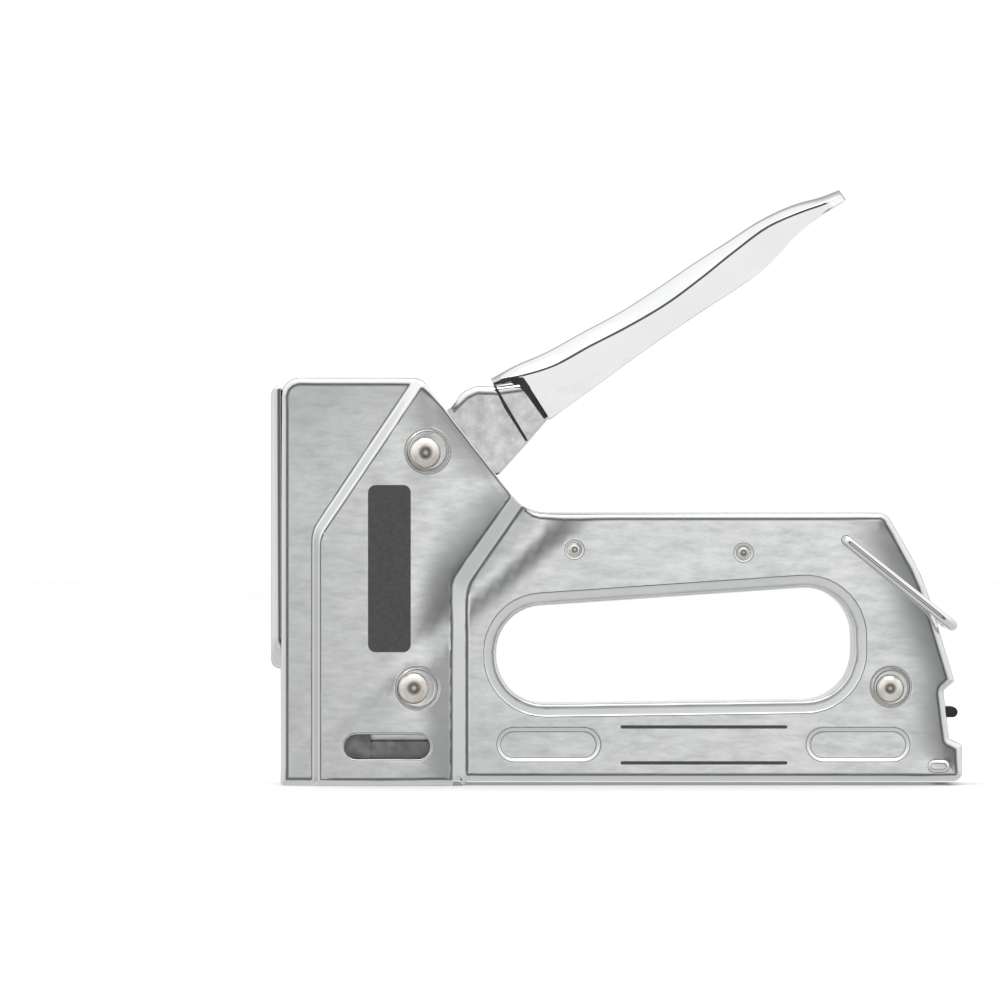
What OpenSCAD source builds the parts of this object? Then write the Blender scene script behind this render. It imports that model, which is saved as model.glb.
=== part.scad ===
// Lever staple gun: pressed steel shells around a spring plunger, a staple rail and a squeeze lever.
// Side outlines are drawn as [x, z, corner radius] lists, with x counted back from the nose and z up.

/* [Casing] */
// Length of the casing, nose to rear
body_len = 182.4; // [165:0.1:225]
// Height of the head
head_top = 109; // [105:0.1:132]
// Height of the top of the grip
grip_top = 72.9; // [68:0.1:76]
// Length of the head along the foot
head_len = 48.6; // [46:0.1:54]
// Width across the grip
grip_w = 20; // [17:0.1:26]
// Width across the raised head panels
head_w = 26; // [24.6:0.1:32]
// Thickness of the shell steel
sheet = 1.2; // [0.8:0.1:1.6]
// Radius pressed along the shell edges
bend = 1.6; // [0.8:0.1:2]
// Height of the rail's underside over the nose
foot_step = 1.1; // [0.5:0.1:1.6]

/* [Hand hole] */
// Front end of the hand hole, back from the nose
hole_front = 57.7; // [56:0.1:70]
// Steel between the hand hole and the rear
hole_rear_margin = 29.1; // [27:0.1:40]
// Height of the bottom of the hand hole
hole_bottom = 22; // [20:0.1:26]
// Depth of steel between the hand hole and the top of the grip
grip_depth = 22.4; // [20:0.1:26]
// How far the top of the hand hole rises to the rear
hole_rise = 6.5; // [0:0.1:8]
// Radius of the hand hole's ends
hole_r = 13; // [8:0.1:13]

/* [Head] */
// Back from the nose to the raised panel
panel_front = 10.3; // [9:0.1:14]
// How far the front cover stands proud of the nose
cover_proud = 2.8; // [1.5:0.1:4]
// Height of the front cover's lower end
cover_bottom = 31; // [26:0.1:45]
// Lower edge of the sight window
window_z = 7.2; // [6.5:0.1:8]
// Height of the sight window
window_h = 6.5; // [5:0.1:8]
// Front end of the sight window
window_x = 17.1; // [15:0.1:20]
// Length of the sight window
window_len = 22.9; // [15:0.1:26]

/* [Rivets] */
// Lever pivot, back from the nose
pivot_x = 38.7; // [38:0.1:40]
// Lever pivot, below the top of the head
pivot_drop = 20.1; // [19:0.1:24]
// Radius of the lever pivot's shank
pivot_r = 3.2; // [2:0.05:4]
// Radius of the large rivet heads
rivet_head_r = 4.2; // [3.8:0.05:5.5]
// How far a rivet head stands proud
rivet_proud = 2.5; // [1.5:0.1:3]
// Radius of the plain rivets' shanks
rivet_r = 2.4; // [1.5:0.05:3.2]
// Radius of the rear rivet's heads
rear_head_r = 3.8; // [3.4:0.05:4.5]
// Radius of the small pins in the grip
grip_pin_r = 1.5; // [1:0.05:2]

/* [Lever] */
// Angle of the open lever over the level
lever_rest = 32.4; // [30:0.1:34]
// Squeeze of the lever
lever_travel = 30; // [20:0.5:30]
// How far the closed handle reaches past the bail's pivot
tip_past_bail = 19.1; // [16:0.1:24]
// Thickness of the inner lever's steel
arm_sheet = 2; // [1.2:0.1:2.4]
// Thickness of the handle cover's steel
cover_sheet = 1.4; // [0.8:0.1:1.4]
// Pivot to the lifting tips of the fork
fork_len = 26; // [24:0.1:27]
// Half the depth of the fork's arms
fork_half = 3; // [2.4:0.1:3.4]
// Radius of the ribs that the fork lifts
rib_r = 2; // [1.5:0.1:2.2]

/* [Plunger and spring] */
// Wire of the power spring
spring_wire = 2.4; // [1.6:0.1:2.8]
// Height of the plunger's spring seat
seat_z = 46; // [44:0.1:52]
// Thickness of the driver blade
blade_t = 1.2; // [0.8:0.1:1.3]
// Thickness of the plunger's plate
plate_t = 2.2; // [1.4:0.1:2.4]
// Thickness of the rubber bumper
bumper_h = 6; // [4:0.1:8]

/* [Magazine] */
// Outside width of the magazine channel
mag_w = 13.4; // [12.6:0.1:15]
// Thickness of the magazine channel's steel
mag_sheet = 1.2; // [0.8:0.1:1.3]
// Height of the magazine channel's sides over the foot
mag_h = 13.9; // [13:0.1:15]
// Thickness of the follower's sides
follower_sheet = 0.9; // [0.6:0.05:1.1]
// Thickness of the staple rail's steel
rail_sheet = 0.9; // [0.6:0.05:1]
// Height of the staple rail's top over the foot
rail_h = 10.4; // [9.6:0.1:10.8]
// Thickness of the staple spring's coils
feed_coil_t = 1.1; // [0.8:0.05:1.3]
// Height of the feeder rod over the foot
rod_h = 5.9; // [5:0.1:6.4]
// Length of the follower
follower_len = 15.5; // [10:0.1:20]

/* [Latches] */
// Wire of the bail
bail_wire = 2.7; // [2:0.1:3]
// Bail pivot, forward of the rear
bail_back = 31.2; // [30:0.1:36]
// Bail pivot, below the top of the grip
bail_drop = 7.3; // [6:0.1:9]
// How far the raised bail clears the top of the closed handle
catch_clear = 1.8; // [0.5:0.1:2.5]
// Angle of the resting bail below the level
bail_rest = 38.8; // [34:0.1:40]
// Length of the rear latch tab past the notch
tab_len = 7.1; // [5:0.1:7.6]
// Thickness of the rear latch tab
tab_t = 2.8; // [1.6:0.1:3]

/* [Hidden] */
$fn = 48;

gap = 0.3;            // between pieces that move past each other
fit = 0.05;           // radial clearance of a pin that turns or slides in its bore
eps = 0.5;            // how far a cut runs past the face that it opens
arc_step = 15;        // angle of one step along a rounded corner
origin_x = (body_len - cover_proud) / 2;

pivot = [pivot_x, head_top - pivot_drop];
bail_pivot = [body_len - bail_back, grip_top - bail_drop];
head_rivet_at = [head_len - 13, 26.1];
rear_rivet_at = [body_len - 19.5, 25.9];
grip_pins_at = [[hole_front + 20.9, grip_top - 9.9], [hole_front + 66.1, grip_top - 10.7]];
inner_half = grip_w / 2 - sheet;           // inside of the grip's sides
panel_half = head_w / 2 - sheet;           // inside of the raised panels
hole_rear = body_len - hole_rear_margin;
hole_top = grip_top - grip_depth;          // hand hole's top, at its middle

// The slope behind the head, from the top of the head down to the grip.
slope = 1.293;
slope_foot_x = head_len + 16.9;
slope_top_x = slope_foot_x - (head_top - grip_top) / slope;

oval_z = 6.2;                              // ovals pressed into the rail
oval_len = 28;
oval_h = 9.4;
oval_depth = 0.6;

notch_x = body_len - 5;                    // deepest point of the finger notch at the rear
notch_low = 12.3;
notch_high = 25.3;

body_corners = [
    [0, 0, 1],
    [head_len, 0, 0.4],
    [head_len + foot_step, foot_step, 0.4],
    [body_len, foot_step, 2.4],
    [body_len, notch_low - 1.5, 0.8],
    [notch_x + 1.6, notch_low, 0.8],
    [notch_x, notch_high, 1.4],
    [body_len - 2, notch_high + 2.5, 1],
    [body_len - 10.6, grip_top - 16.7, 50],
    [body_len - 20.3, grip_top, 4],
    [slope_foot_x, grip_top, 12],
    [slope_top_x, head_top, 4],
    [0, head_top, 5]
];
panel_corners = [
    [panel_front, 0, 0.5],
    [head_len - 1.4, 0, 0.5],
    [head_len - 1.4, grip_top - 18.4, 6],
    [slope_foot_x - 2.8, grip_top + 3.6, 2],
    [slope_top_x + 1.2, head_top - 1.5, 2.5],
    [panel_front, head_top - 42.5, 8]
];
hole_corners = [
    [hole_front, hole_bottom - 0.5, hole_r],
    [hole_rear, hole_bottom + 0.8, hole_r],
    [hole_rear, hole_top + hole_rise / 2, hole_r],
    [hole_front, hole_top - hole_rise / 2, hole_r - 0.5]
];

// The lever, in its own axes: along it from the pivot, and up across it.
lever_closed = lever_rest - lever_travel;
lever_len = (bail_pivot.x + tip_past_bail - pivot.x) / cos(lever_closed);
arm_w = grip_w - 2 * sheet - 0.8;           // width across the two cheeks
cover_w = grip_w;
tongue_x = 25.5;                            // where the tongue of the cover begins
cover_front = 33;                           // where its sides begin
// Stations of the cover: [share of the way from cover_front to the tip, side edge of the top, crown over it].
cover_stations = [
    [0, 3.6, 3.4], [0.08, 1.4, 4.3], [0.2, 0.5, 4.4], [0.31, -0.5, 4.6], [0.44, -0.9, 5], [0.55, -0.1, 4.6],
    [0.67, 1.2, 3.4], [0.78, 1.9, 2.8], [0.88, 0.4, 2.9], [0.95, -1.4, 2.2], [1, -1.6, 1.6]
];
// The lower edge of the cover's sides, from near the tip back to the front.
cover_flange = [
    [0.92, -3], [0.825, -4.2], [0.73, -6.7], [0.64, -7.4], [0.555, -7.5], [0.345, -8.1], [0.14, -9.4], [0, -10.2]
];
crown_steps = 5;

// The raised bail lies over the top of the closed handle, a little ahead of its tip.
catch_point = [lever_len - 5.2, 2 + bail_wire / 2 + catch_clear];
caught = pivot + [
    catch_point.x * cos(lever_closed) - catch_point.y * sin(lever_closed),
    catch_point.x * sin(lever_closed) + catch_point.y * cos(lever_closed)
];
bail_len = norm(caught - bail_pivot);

guide_t = 1.4;                              // nose guide
blade_x = sheet + guide_t + gap;            // driver blade's front face
plate_x = blade_x + blade_t;                // plunger plate's front face
blade_w = mag_w - 2 * mag_sheet - 2 * gap;
blade_rivet_r = 1.6;
blade_rivets_z = [seat_z - 8, seat_z + 14];
plunger_low = seat_z - 12;
seat_t = 3;                                 // plunger's seat under the spring
spring_od = arm_w - 2 * arm_sheet - 0.8;    // between the fork's arms
spring_x = plate_x + plate_t + spring_od / 2 + 2.3;

mag_front = plate_x + gap;                  // the magazine starts behind the blade
mag_rear = notch_x - 2;
mag_floor = foot_step + mag_sheet;          // the channel's inside floor
rail_w = mag_w - 2 * (mag_sheet + gap + follower_sheet + gap);
rod_d = rail_w - 2 * (rail_sheet + 0.5 + feed_coil_t);     // the staple spring runs inside the rail
rod_z = foot_step + rod_h;
rail_top = foot_step + rail_h;
cap_front = mag_rear - 11.4;
cap_top = 15;
rod_in_cap = 6;
follower_front = mag_front + 4;
follower_rear = follower_front + follower_len;
fork_drop = fork_len * sin(lever_travel / 2);
fork_tip = [pivot.x - fork_len * cos(lever_travel / 2), pivot.y - fork_drop];
plunger_travel = 2 * fork_drop;
rib_z = pivot.y + (fork_half + rib_r + gap) / cos(lever_travel / 2)
    - (pivot.x - fork_tip.x) * tan(lever_travel / 2);      // axis of the ribs, on top of the resting fork
shelf_z = rib_z + 0.8;                      // underside of the shelf that the ribs are part of
spring_top = head_top - sheet - 3;
bumper_low = seat_z - seat_t - gap - bumper_h;
latch_leaf_x = notch_x - 4.8;
latch_t = 1.8;
latch_half = 2.6;
latch_foot_low = 1.4;  // from the cap's top down to the underside of the latch's foot
latch_spring_x = cap_front + 4.5;
latch_spring_r = 2.1;
latch_spring_low = rod_z + rod_d / 2 + 0.9;
tab_z = 18;
bail_y = grip_w / 2 + gap + bail_wire / 2;  // centre of the bail's legs

// Outlines

function unit(v) = v / norm(v);
function flat(p) = [p[0], p[1]];

// The points of an arc of radius r that rounds corner b between a and c.
function corner_arc(a, b, c, r) =
    let (
        u = unit(a - b),
        w = unit(c - b),
        half = acos(u * w) / 2,
        start = b + u * r / tan(half),
        finish = b + w * r / tan(half),
        centre = b + unit(u + w) * r / sin(half),
        a0 = atan2(start.y - centre.y, start.x - centre.x),
        a1 = atan2(finish.y - centre.y, finish.x - centre.x),
        sweep = (a1 - a0 + 540) % 360 - 180,
        n = max(2, ceil(abs(sweep) / arc_step))
    )
    [for (i = [0:n]) centre + r * [cos(a0 + sweep * i / n), sin(a0 + sweep * i / n)]];

// A corner list as a polygon's points.
function outline(c) =
    let (n = len(c))
    [for (i = [0:n - 1])
        let (a = flat(c[(i + n - 1) % n]), b = flat(c[i]), d = flat(c[(i + 1) % n]))
        for (p = c[i][2] > 0 ? corner_arc(a, b, d, c[i][2]) : [b]) p];

// A counter-clockwise corner list moved inwards by t, with its radii kept concentric.
function inset(c, t) =
    let (n = len(c))
    [for (i = [0:n - 1])
        let (
            a = flat(c[(i + n - 1) % n]),
            b = flat(c[i]),
            d = flat(c[(i + 1) % n]),
            u = unit(b - a),
            w = unit(d - b),
            nu = [-u.y, u.x],
            nw = [-w.y, w.x],
            turn = u.x * w.y - u.y * w.x,
            q = b + t * (nu + nw) / (1 + nu * nw)
        )
        [q.x, q.y, turn > 0 ? max(0, c[i][2] - t) : c[i][2] + t]];

// Building helpers

// Everything is drawn from the nose back, then placed with the origin under the middle.
module place() {
    translate([-origin_x, 0, 0]) children();
}

// A flat outline made as thick as from y0 to y1.
module slab(y0, y1) {
    translate([0, y1, 0]) rotate([90, 0, 0]) linear_extrude(y1 - y0) children();
}

module box(low, high) {
    translate(low) cube(high - low);
}

// A round bar across the casing at [x, z], from y0 to y1.
module bar(at, r, y0, y1) {
    translate([at[0], y1, at[1]]) rotate([90, 0, 0]) cylinder(r = r, h = y1 - y0);
}

// A sleeve across the casing.
module sleeve(at, r_out, r_in, y0, y1) {
    difference() {
        bar(at, r_out, y0, y1);
        bar(at, r_in, y0 - eps, y1 + eps);
    }
}

// A slot with round ends along x, at [x, z] with a length and a height.
module slot2d(x, z, length, height) {
    translate([x + height / 2, z + height / 2]) circle(height / 2);
    translate([x + length - height / 2, z + height / 2]) circle(height / 2);
    translate([x + height / 2, z]) square([length - height, height]);
}

// A shallow dome that stands out along +z from the origin.
module dome(r, h) {
    ball = (r * r + h * h) / (2 * h);
    intersection() {
        translate([0, 0, h - ball]) sphere(ball);
        cylinder(r = r, h = h);
    }
}

// A rivet across the casing with a domed head on each side.
module rivet(at, shank_r, head_r, half) {
    bar(at, shank_r, -half - 0.2, half + 0.2);
    for (side = [-1, 1]) {
        translate([at[0], side * half, at[1]]) rotate([-side * 90, 0, 0]) dome(head_r, rivet_proud);
    }
}

// Shells

// The outside of the left half, stepped in where the steel is bent.
module shell_outside() {
    slab(bend - grip_w / 2, 0) polygon(outline(body_corners));
    slab(bend * 0.3 - grip_w / 2, -1) polygon(outline(inset(body_corners, bend * 0.3)));
    slab(-grip_w / 2, -1) polygon(outline(inset(body_corners, bend * 0.9)));
    slab(bend * 0.5 - head_w / 2, -1) polygon(outline(panel_corners));
    slab(-head_w / 2, -1) polygon(outline(inset(panel_corners, bend * 0.6)));
}

// The slot behind the head that the lever moves in.
module lever_slot() {
    down = unit([slope_foot_x - slope_top_x, grip_top - head_top]);
    inward = [down.y, -down.x];
    top = [slope_top_x, head_top] + 5 * down;
    panel_foot = [slope_foot_x - 2.8, grip_top + 3.6] - 2.5 * down;
    grip_foot = [slope_foot_x, grip_top];
    depth = sheet + 0.8;
    slab(-panel_half, eps) polygon([
        top - inward, panel_foot - inward, panel_foot + depth * inward, top + depth * inward
    ]);
    slab(-inner_half, eps) polygon([
        top - inward, grip_foot - 3 * inward, grip_foot + depth * inward, top + depth * inward
    ]);
}

module shell_inside() {
    slab(-inner_half, eps) polygon(outline(inset(body_corners, sheet)));
    slab(-panel_half, eps) polygon(outline(inset(panel_corners, sheet)));
    lever_slot();
    // the open foot, for the magazine, and the open rear, for the feeder
    box([sheet, -mag_w / 2 - fit, -eps], [mag_rear + gap, eps, foot_step + sheet + eps]);
    box([mag_rear - 1, -mag_w / 2 + mag_sheet - 0.1, mag_floor], [body_len + 1, eps, notch_high - 0.8]);
}

// The wall turned in around the hand hole.
module hole_rim() {
    difference() {
        slab(-grip_w / 2 + bend * 0.4, 0) polygon(outline(inset(hole_corners, -sheet)));
        slab(-grip_w, eps) polygon(outline(hole_corners));
    }
}

// The two ovals pressed into the rail, as a slab of their outline.
module rail_ovals(y0, y1) {
    for (x = [hole_front, hole_rear - 12.9]) {
        slab(y0, y1) slot2d(x, oval_z, oval_len, oval_h);
    }
}

// The left half: the right half is its mirror image.
module shell_half() {
    difference() {
        union() {
            difference() {
                shell_outside();
                shell_inside();
                slab(-grip_w, eps) polygon(outline(hole_corners));
                slab(-grip_w, bend * 0.4 - grip_w / 2) polygon(outline(inset(hole_corners, -bend * 0.6)));
            }
            hole_rim();
            rail_ovals(-inner_half - 0.1, -inner_half + oval_depth);
        }
        rail_ovals(-grip_w, -grip_w / 2 + oval_depth);
        slab(-head_w, 0) slot2d(window_x, window_z, window_len, window_h);
        bar(pivot, pivot_r, -head_w, eps);
        bar(head_rivet_at, rivet_r, -head_w, eps);
        bar(rear_rivet_at, rivet_r, -grip_w, eps);
        bar(bail_pivot, bail_wire / 2 + fit, -grip_w, eps);
        for (at = grip_pins_at) {
            bar(at, grip_pin_r, -grip_w, eps);
        }
    }
}

module left_shell() {
    color("#c3c6c4") place() shell_half();
}

module right_shell() {
    color("#c3c6c4") place() mirror([0, 1, 0]) shell_half();
}

// The bright channel over the front of the nose.
module front_cover() {
    half = grip_w / 2 - 1.4;
    color("#d6d8d8") place() difference() {
        union() {
            box([-cover_proud, -half, cover_bottom + half], [0, half, head_top - 2]);
            translate([-cover_proud, 0, cover_bottom + half]) rotate([0, 90, 0]) cylinder(r = half, h = cover_proud);
        }
        box([sheet - cover_proud, sheet - half, cover_bottom + half], [eps, half - sheet, head_top - 2 - sheet]);
    }
}

// Head

// The plate that guides the blade and takes the wear at the nose.
module nose_guide() {
    half = mag_w / 2;
    color("#8d9092") place() box([sheet, -half, 0.2], [sheet + guide_t, half, cover_bottom - 1]);
}

// The plate under the top of the head that the power spring pushes on, with a spigot inside the spring.
module spring_cap() {
    end_gap = 6;
    spigot = 5;
    spigot_r = spring_od / 2 - spring_wire - gap;
    color("#8d9092") place() {
        box([end_gap, -inner_half, spring_top], [slope_top_x - end_gap, inner_half, head_top - sheet]);
        translate([spring_x, 0, spring_top - spigot]) cylinder(r = spigot_r, h = spigot + 1);
    }
}

// The bracket that carries the bumper.
module plunger_stop() {
    low = bumper_low;
    bracket_t = 3;
    bracket_rear = 27;
    // both sides clear the narrower front of the head
    narrow_to = panel_front + sheet;
    color("#8d9092") place() difference() {
        box([plate_x + plate_t + gap, -panel_half, low - bracket_t], [bracket_rear, panel_half, low]);
        box([0, -panel_half - 1, low - bracket_t - 1], [narrow_to, -inner_half, low + 1]);
        box([0, inner_half, low - bracket_t - 1], [narrow_to, panel_half + 1, low + 1]);
    }
}

module bumper() {
    half = inner_half - 1.8;
    color("#2b2b2b") place()
        box([plate_x + plate_t + gap, -half, bumper_low], [spring_x + 7, half, bumper_low + bumper_h]);
}

module lever_pivot_pin() {
    color("#bfb8b0") place() rivet(pivot, pivot_r, rivet_head_r, head_w / 2);
}

// Washers that hold the lever central between the panels.
module pivot_washers() {
    color("#8d9092") place() for (side = [-1, 1]) {
        y0 = side > 0 ? arm_w / 2 + gap / 2 : -panel_half;
        sleeve(pivot, pivot_r + 3.6, pivot_r, y0, y0 + panel_half - arm_w / 2 - gap / 2);
    }
}

module head_rivet() {
    color("#bfb8b0") place() rivet(head_rivet_at, rivet_r, rivet_head_r, head_w / 2);
}

module head_spacer() {
    color("#8d9092") place() sleeve(head_rivet_at, rivet_r + 1.8, rivet_r, -panel_half, panel_half);
}

module rear_rivet() {
    color("#bfb8b0") place() rivet(rear_rivet_at, rivet_r, rear_head_r, grip_w / 2);
}

module rear_spacer() {
    color("#8d9092") place() sleeve(rear_rivet_at, rivet_r + 1.4, rivet_r, -inner_half, inner_half);
}

// The small pins whose ends lie almost flush in the grip.
module grip_pins() {
    color("#a9abab") place() for (at = grip_pins_at) {
        bar(at, grip_pin_r, -grip_w / 2 - 0.3, grip_w / 2 + 0.3);
    }
}

// Plain printed patches on the raised panels.
module head_labels() {
    front = panel_front + 13.2;
    rear = front + 11.4;
    low = head_rivet_at.y + 9.6;
    high = pivot.y - 8.6;
    color("#4a4b4c") place() for (side = [-1, 1]) {
        y = side > 0 ? head_w / 2 : -head_w / 2 - 0.1;
        slab(y, y + 0.1) polygon(outline([[front, low, 2], [rear, low, 2], [rear, high, 2], [front, high, 2]]));
    }
}

// A sleeve of the power spring's coils.
module power_spring() {
    color("#6f7274") place() translate([spring_x, 0, seat_z]) difference() {
        cylinder(r = spring_od / 2, h = spring_top - seat_z);
        translate([0, 0, -eps]) cylinder(r = spring_od / 2 - spring_wire, h = spring_top - seat_z + 1);
    }
}

// A sleeve of the return spring's coils round the lever pivot, with one leg down into the casing.
module lever_return_spring() {
    half = arm_w / 2 - arm_sheet - 1;
    color("#6f7274") place() {
        sleeve(pivot, pivot_r + 2.2, pivot_r + 0.7, -half, half);
        translate([pivot.x - pivot_r - 1.4, half - 1.4, pivot.y - 22]) cylinder(r = 0.6, h = 22);
    }
}

// Lever

// A point of the casing in the lever's own axes.
function from_casing(p) = [
    (p.x - pivot.x) * cos(lever_rest) + (p.y - pivot.y) * sin(lever_rest),
    (pivot.x - p.x) * sin(lever_rest) + (p.y - pivot.y) * cos(lever_rest)
];

// A distance along the lever, given as a share of the way from the cover's front to its tip.
function along_cover(share) = cover_front + share * (lever_len - cover_front);

// Side outline of the inner lever, in its own axes: the fork's rounded tip, the hub and the long cheeks.
module arm_outline() {
    along = unit(from_casing(fork_tip));
    low_side = [-along.y, along.x];
    hub = pivot_r + 4.8;
    fork_end = fork_len + fork_half - 0.6;
    top_root = 14.5 * along - fork_half * low_side;
    top_end = fork_end * along - fork_half * low_side;
    low_end = fork_end * along + fork_half * low_side;
    low_root = 13 * along + (fork_half + 0.6) * low_side;
    polygon(outline([
        [along_cover(0.43), -3.2, 0], [along_cover(0.2), -1.6, 0], [along_cover(0.08), -0.4, 0],
        [cover_front, 1.4, 4], [tongue_x - 0.1, 5, 1], [21.1, 7.9, 2],
        [18.2, 8.3, 2], [10.8, 6.3, 4], [hub / 2, hub * 0.95, 4],
        [top_root.x, top_root.y, 6], [top_end.x, top_end.y, fork_half * 0.9], [low_end.x, low_end.y, fork_half * 0.9],
        [low_root.x, low_root.y, 4], [-hub * 0.3, -hub, 4], [13.6, -15.4, 2], [23, -12.8, 0],
        [cover_front, -9.8, 0], [along_cover(0.43), -7, 1]
    ]));
}

// The pressed inner lever: two cheeks, joined by a web on top, that fork ahead of the pivot.
module lever_arm() {
    inner = arm_w / 2 - arm_sheet;
    color("#b9bcbb") place() translate([pivot.x, 0, pivot.y]) rotate([0, -lever_rest, 0]) difference() {
        slab(-arm_w / 2, arm_w / 2) arm_outline();
        slab(-inner, inner) polygon([
            [-fork_len - 10, -30], [-fork_len - 10, 30], [12, 30], [12, 4.5], [18.2, 6.3], [21.1, 5.9],
            [tongue_x - 0.1, 3], [cover_front, -0.6], [along_cover(0.08), -2.4], [along_cover(0.2), -3.6],
            [along_cover(0.48), -5.6], [along_cover(0.48), -30]
        ]);
        bar([0, 0], pivot_r + fit, -arm_w, arm_w);
    }
}

// Side outline of the cover, with its top raised by a share of the crown and lowered by the steel.
module cover_outline(share, down, low) {
    polygon(concat(
        [[tongue_x, 6.6 + share * 0.9 - down]],
        [for (s = cover_stations) [along_cover(s[0]), s[1] + share * s[2] - down]],
        low
    ));
}

// The crowned cover over the lever: an open channel whose top is built up in steps across its width.
module handle_cover() {
    edge = cover_w / 2;
    t = cover_sheet;
    end = along_cover(0.92);
    color("#dcdede") place() translate([pivot.x, 0, pivot.y]) rotate([0, -lever_rest, 0]) difference() {
        union() {
            slab(-edge, edge) cover_outline(0, 0, concat(
                [[lever_len, -1.6 - t]],
                [for (f = cover_flange) [along_cover(f[0]), f[1]]],
                [[cover_front, 3.6 - t], [tongue_x, 6.6 - t]]
            ));
            for (k = [1:crown_steps - 1]) {
                half = edge * (1 - k / crown_steps);
                slab(-half, half) cover_outline(1 - pow(half / edge, 2), 0, [
                    [lever_len, -2.1], [along_cover(0.73), 0], [along_cover(0.44), -1.2], [along_cover(0.2), 0],
                    [cover_front, 3], [tongue_x, 6]
                ]);
            }
        }
        difference() {
            union() {
                for (k = [0:crown_steps - 1]) {
                    half = edge * (1 - k / crown_steps);
                    slab(t - half, half - t)
                        cover_outline(1 - pow(half / edge, 2), t, [[lever_len, -30], [tongue_x, -30]]);
                }
            }
            slab(-edge, edge) polygon([[end, -30], [end, 30], [lever_len + 5, 30], [lever_len + 5, -30]]);
        }
        // ahead of the sides only the top runs on, as a tongue
        slab(-cover_w, cover_w) polygon([[20, -30], [20, 4.6], [cover_front, 2], [cover_front, -30]]);
    }
}

// Plunger

// A bent plate with a seat for the spring, and a pierced shelf with two ribs that the lever's fork lifts.
module plunger() {
    half = inner_half - gap;
    shelf_rear = fork_tip.x + 3;
    color("#9a9d9f") place() difference() {
        union() {
            box([plate_x, -half, plunger_low], [plate_x + plate_t, half, shelf_z + 2.5]);
            box([plate_x, -half, seat_z - seat_t], [spring_x + spring_od / 2 + 2, half, seat_z]);
            box([plate_x, -half, shelf_z], [shelf_rear, half, shelf_z + 2.5]);
            bar([fork_tip.x, rib_z], rib_r, -half, half);
        }
        translate([spring_x, 0, rib_z - rib_r - 1]) cylinder(r = spring_od / 2 + gap, h = rib_r + 6);
        for (z = blade_rivets_z) {
            translate([plate_x - 1, 0, z]) rotate([0, 90, 0]) cylinder(r = blade_rivet_r, h = plate_t + 2);
        }
    }
}

// The flat blade that drives the staple, riveted to the plunger.
module driver_blade() {
    color("#7f8284") place() difference() {
        box([blade_x, -blade_w / 2, foot_step + 0.2], [plate_x, blade_w / 2, blade_rivets_z[1] + 6]);
        for (z = blade_rivets_z) {
            translate([0, 0, z]) rotate([0, 90, 0]) cylinder(r = blade_rivet_r, h = plate_x + 1);
        }
    }
}

module blade_rivets() {
    color("#8d9092") place() for (z = blade_rivets_z) {
        translate([blade_x, 0, z]) rotate([0, 90, 0]) cylinder(r = blade_rivet_r, h = blade_t + plate_t);
    }
}

// Magazine

// The open channel along the foot.
module magazine_channel() {
    half = mag_w / 2;
    color("#a4a7a8") place() difference() {
        box([mag_front, -half, foot_step], [mag_rear, half, foot_step + mag_h]);
        box([mag_front - 1, mag_sheet - half, mag_floor], [mag_rear + 1, half - mag_sheet, foot_step + mag_h + 1]);
        // the sight slot goes through the left side only, so that the window has a back
        slab(-half - 1, 0) slot2d(window_x, window_z, window_len, window_h);
    }
}

// The rail that the staples sit on, slit along its top for the follower.
module staple_rail() {
    half = rail_w / 2;
    color("#4d4f51") place() difference() {
        box([mag_front, -half, mag_floor], [cap_front - gap, half, rail_top]);
        box([mag_front - 1, rail_sheet - half, mag_floor - 1], [cap_front, half - rail_sheet, rail_top - rail_sheet]);
        box([follower_front - 1, -0.9, mag_floor], [cap_front, 0.9, rail_top + 1]);
    }
}

// The saddle that pushes the staples forward.
module follower() {
    half = mag_w / 2 - mag_sheet - gap;
    color("#b4b7b6") place() difference() {
        union() {
            difference() {
                box([follower_front, -half, mag_floor + gap], [follower_rear, half, rail_top + 2]);
                box([0, -rail_w / 2 - gap, 0], [follower_rear + 1, rail_w / 2 + gap, rail_top + 0.4]);
            }
            box([follower_front + 2, -0.6, rod_z], [follower_rear - 2, 0.6, rail_top + 1]);
            box([follower_front + 2, gap + rail_sheet - rail_w / 2, rod_z - 2.2],
                [follower_rear - 2, rail_w / 2 - rail_sheet - gap, rod_z + 2.2]);
        }
        translate([0, 0, rod_z]) rotate([0, 90, 0]) cylinder(r = rod_d / 2 + fit, h = body_len);
    }
}

// A sleeve of the staple spring's coils.
module follower_spring() {
    start = follower_rear - 2;
    coil_r = rod_d / 2 + feed_coil_t;
    bore_r = rod_d / 2 + 0.4;
    color("#6f7274") place() translate([start, 0, rod_z]) rotate([0, 90, 0]) difference() {
        cylinder(r = coil_r, h = cap_front - start);
        translate([0, 0, -eps]) cylinder(r = bore_r, h = cap_front - start + 1);
    }
}

module feeder_rod() {
    color("#a4a7a8") place() translate([follower_front, 0, rod_z]) rotate([0, 90, 0])
        cylinder(r = rod_d / 2, h = cap_front + rod_in_cap - follower_front);
}

// The block at the rear end of the rod, with a pocket for the latch.
module feeder_cap() {
    half = mag_w / 2 - mag_sheet - gap;
    pocket_half = latch_half + gap;
    pocket_low = cap_top - latch_foot_low - 2.2;
    color("#5d5f61") place() difference() {
        box([cap_front, -half, mag_floor + gap], [body_len - 1.8, half, cap_top]);
        box([mag_rear + 1, -half - 1, notch_low - 2], [body_len + 1, half + 1, cap_top + 1]);
        translate([cap_front - 1, 0, rod_z]) rotate([0, 90, 0]) cylinder(r = rod_d / 2, h = rod_in_cap + 1);
        // pocket for the latch leaf and its foot, and the bore for its spring
        box([cap_front + 1.5, -pocket_half, pocket_low], [latch_leaf_x + latch_t + gap, pocket_half, cap_top + 1]);
        translate([latch_spring_x, 0, latch_spring_low]) cylinder(r = latch_spring_r + 0.2, h = 6);
    }
}

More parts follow.
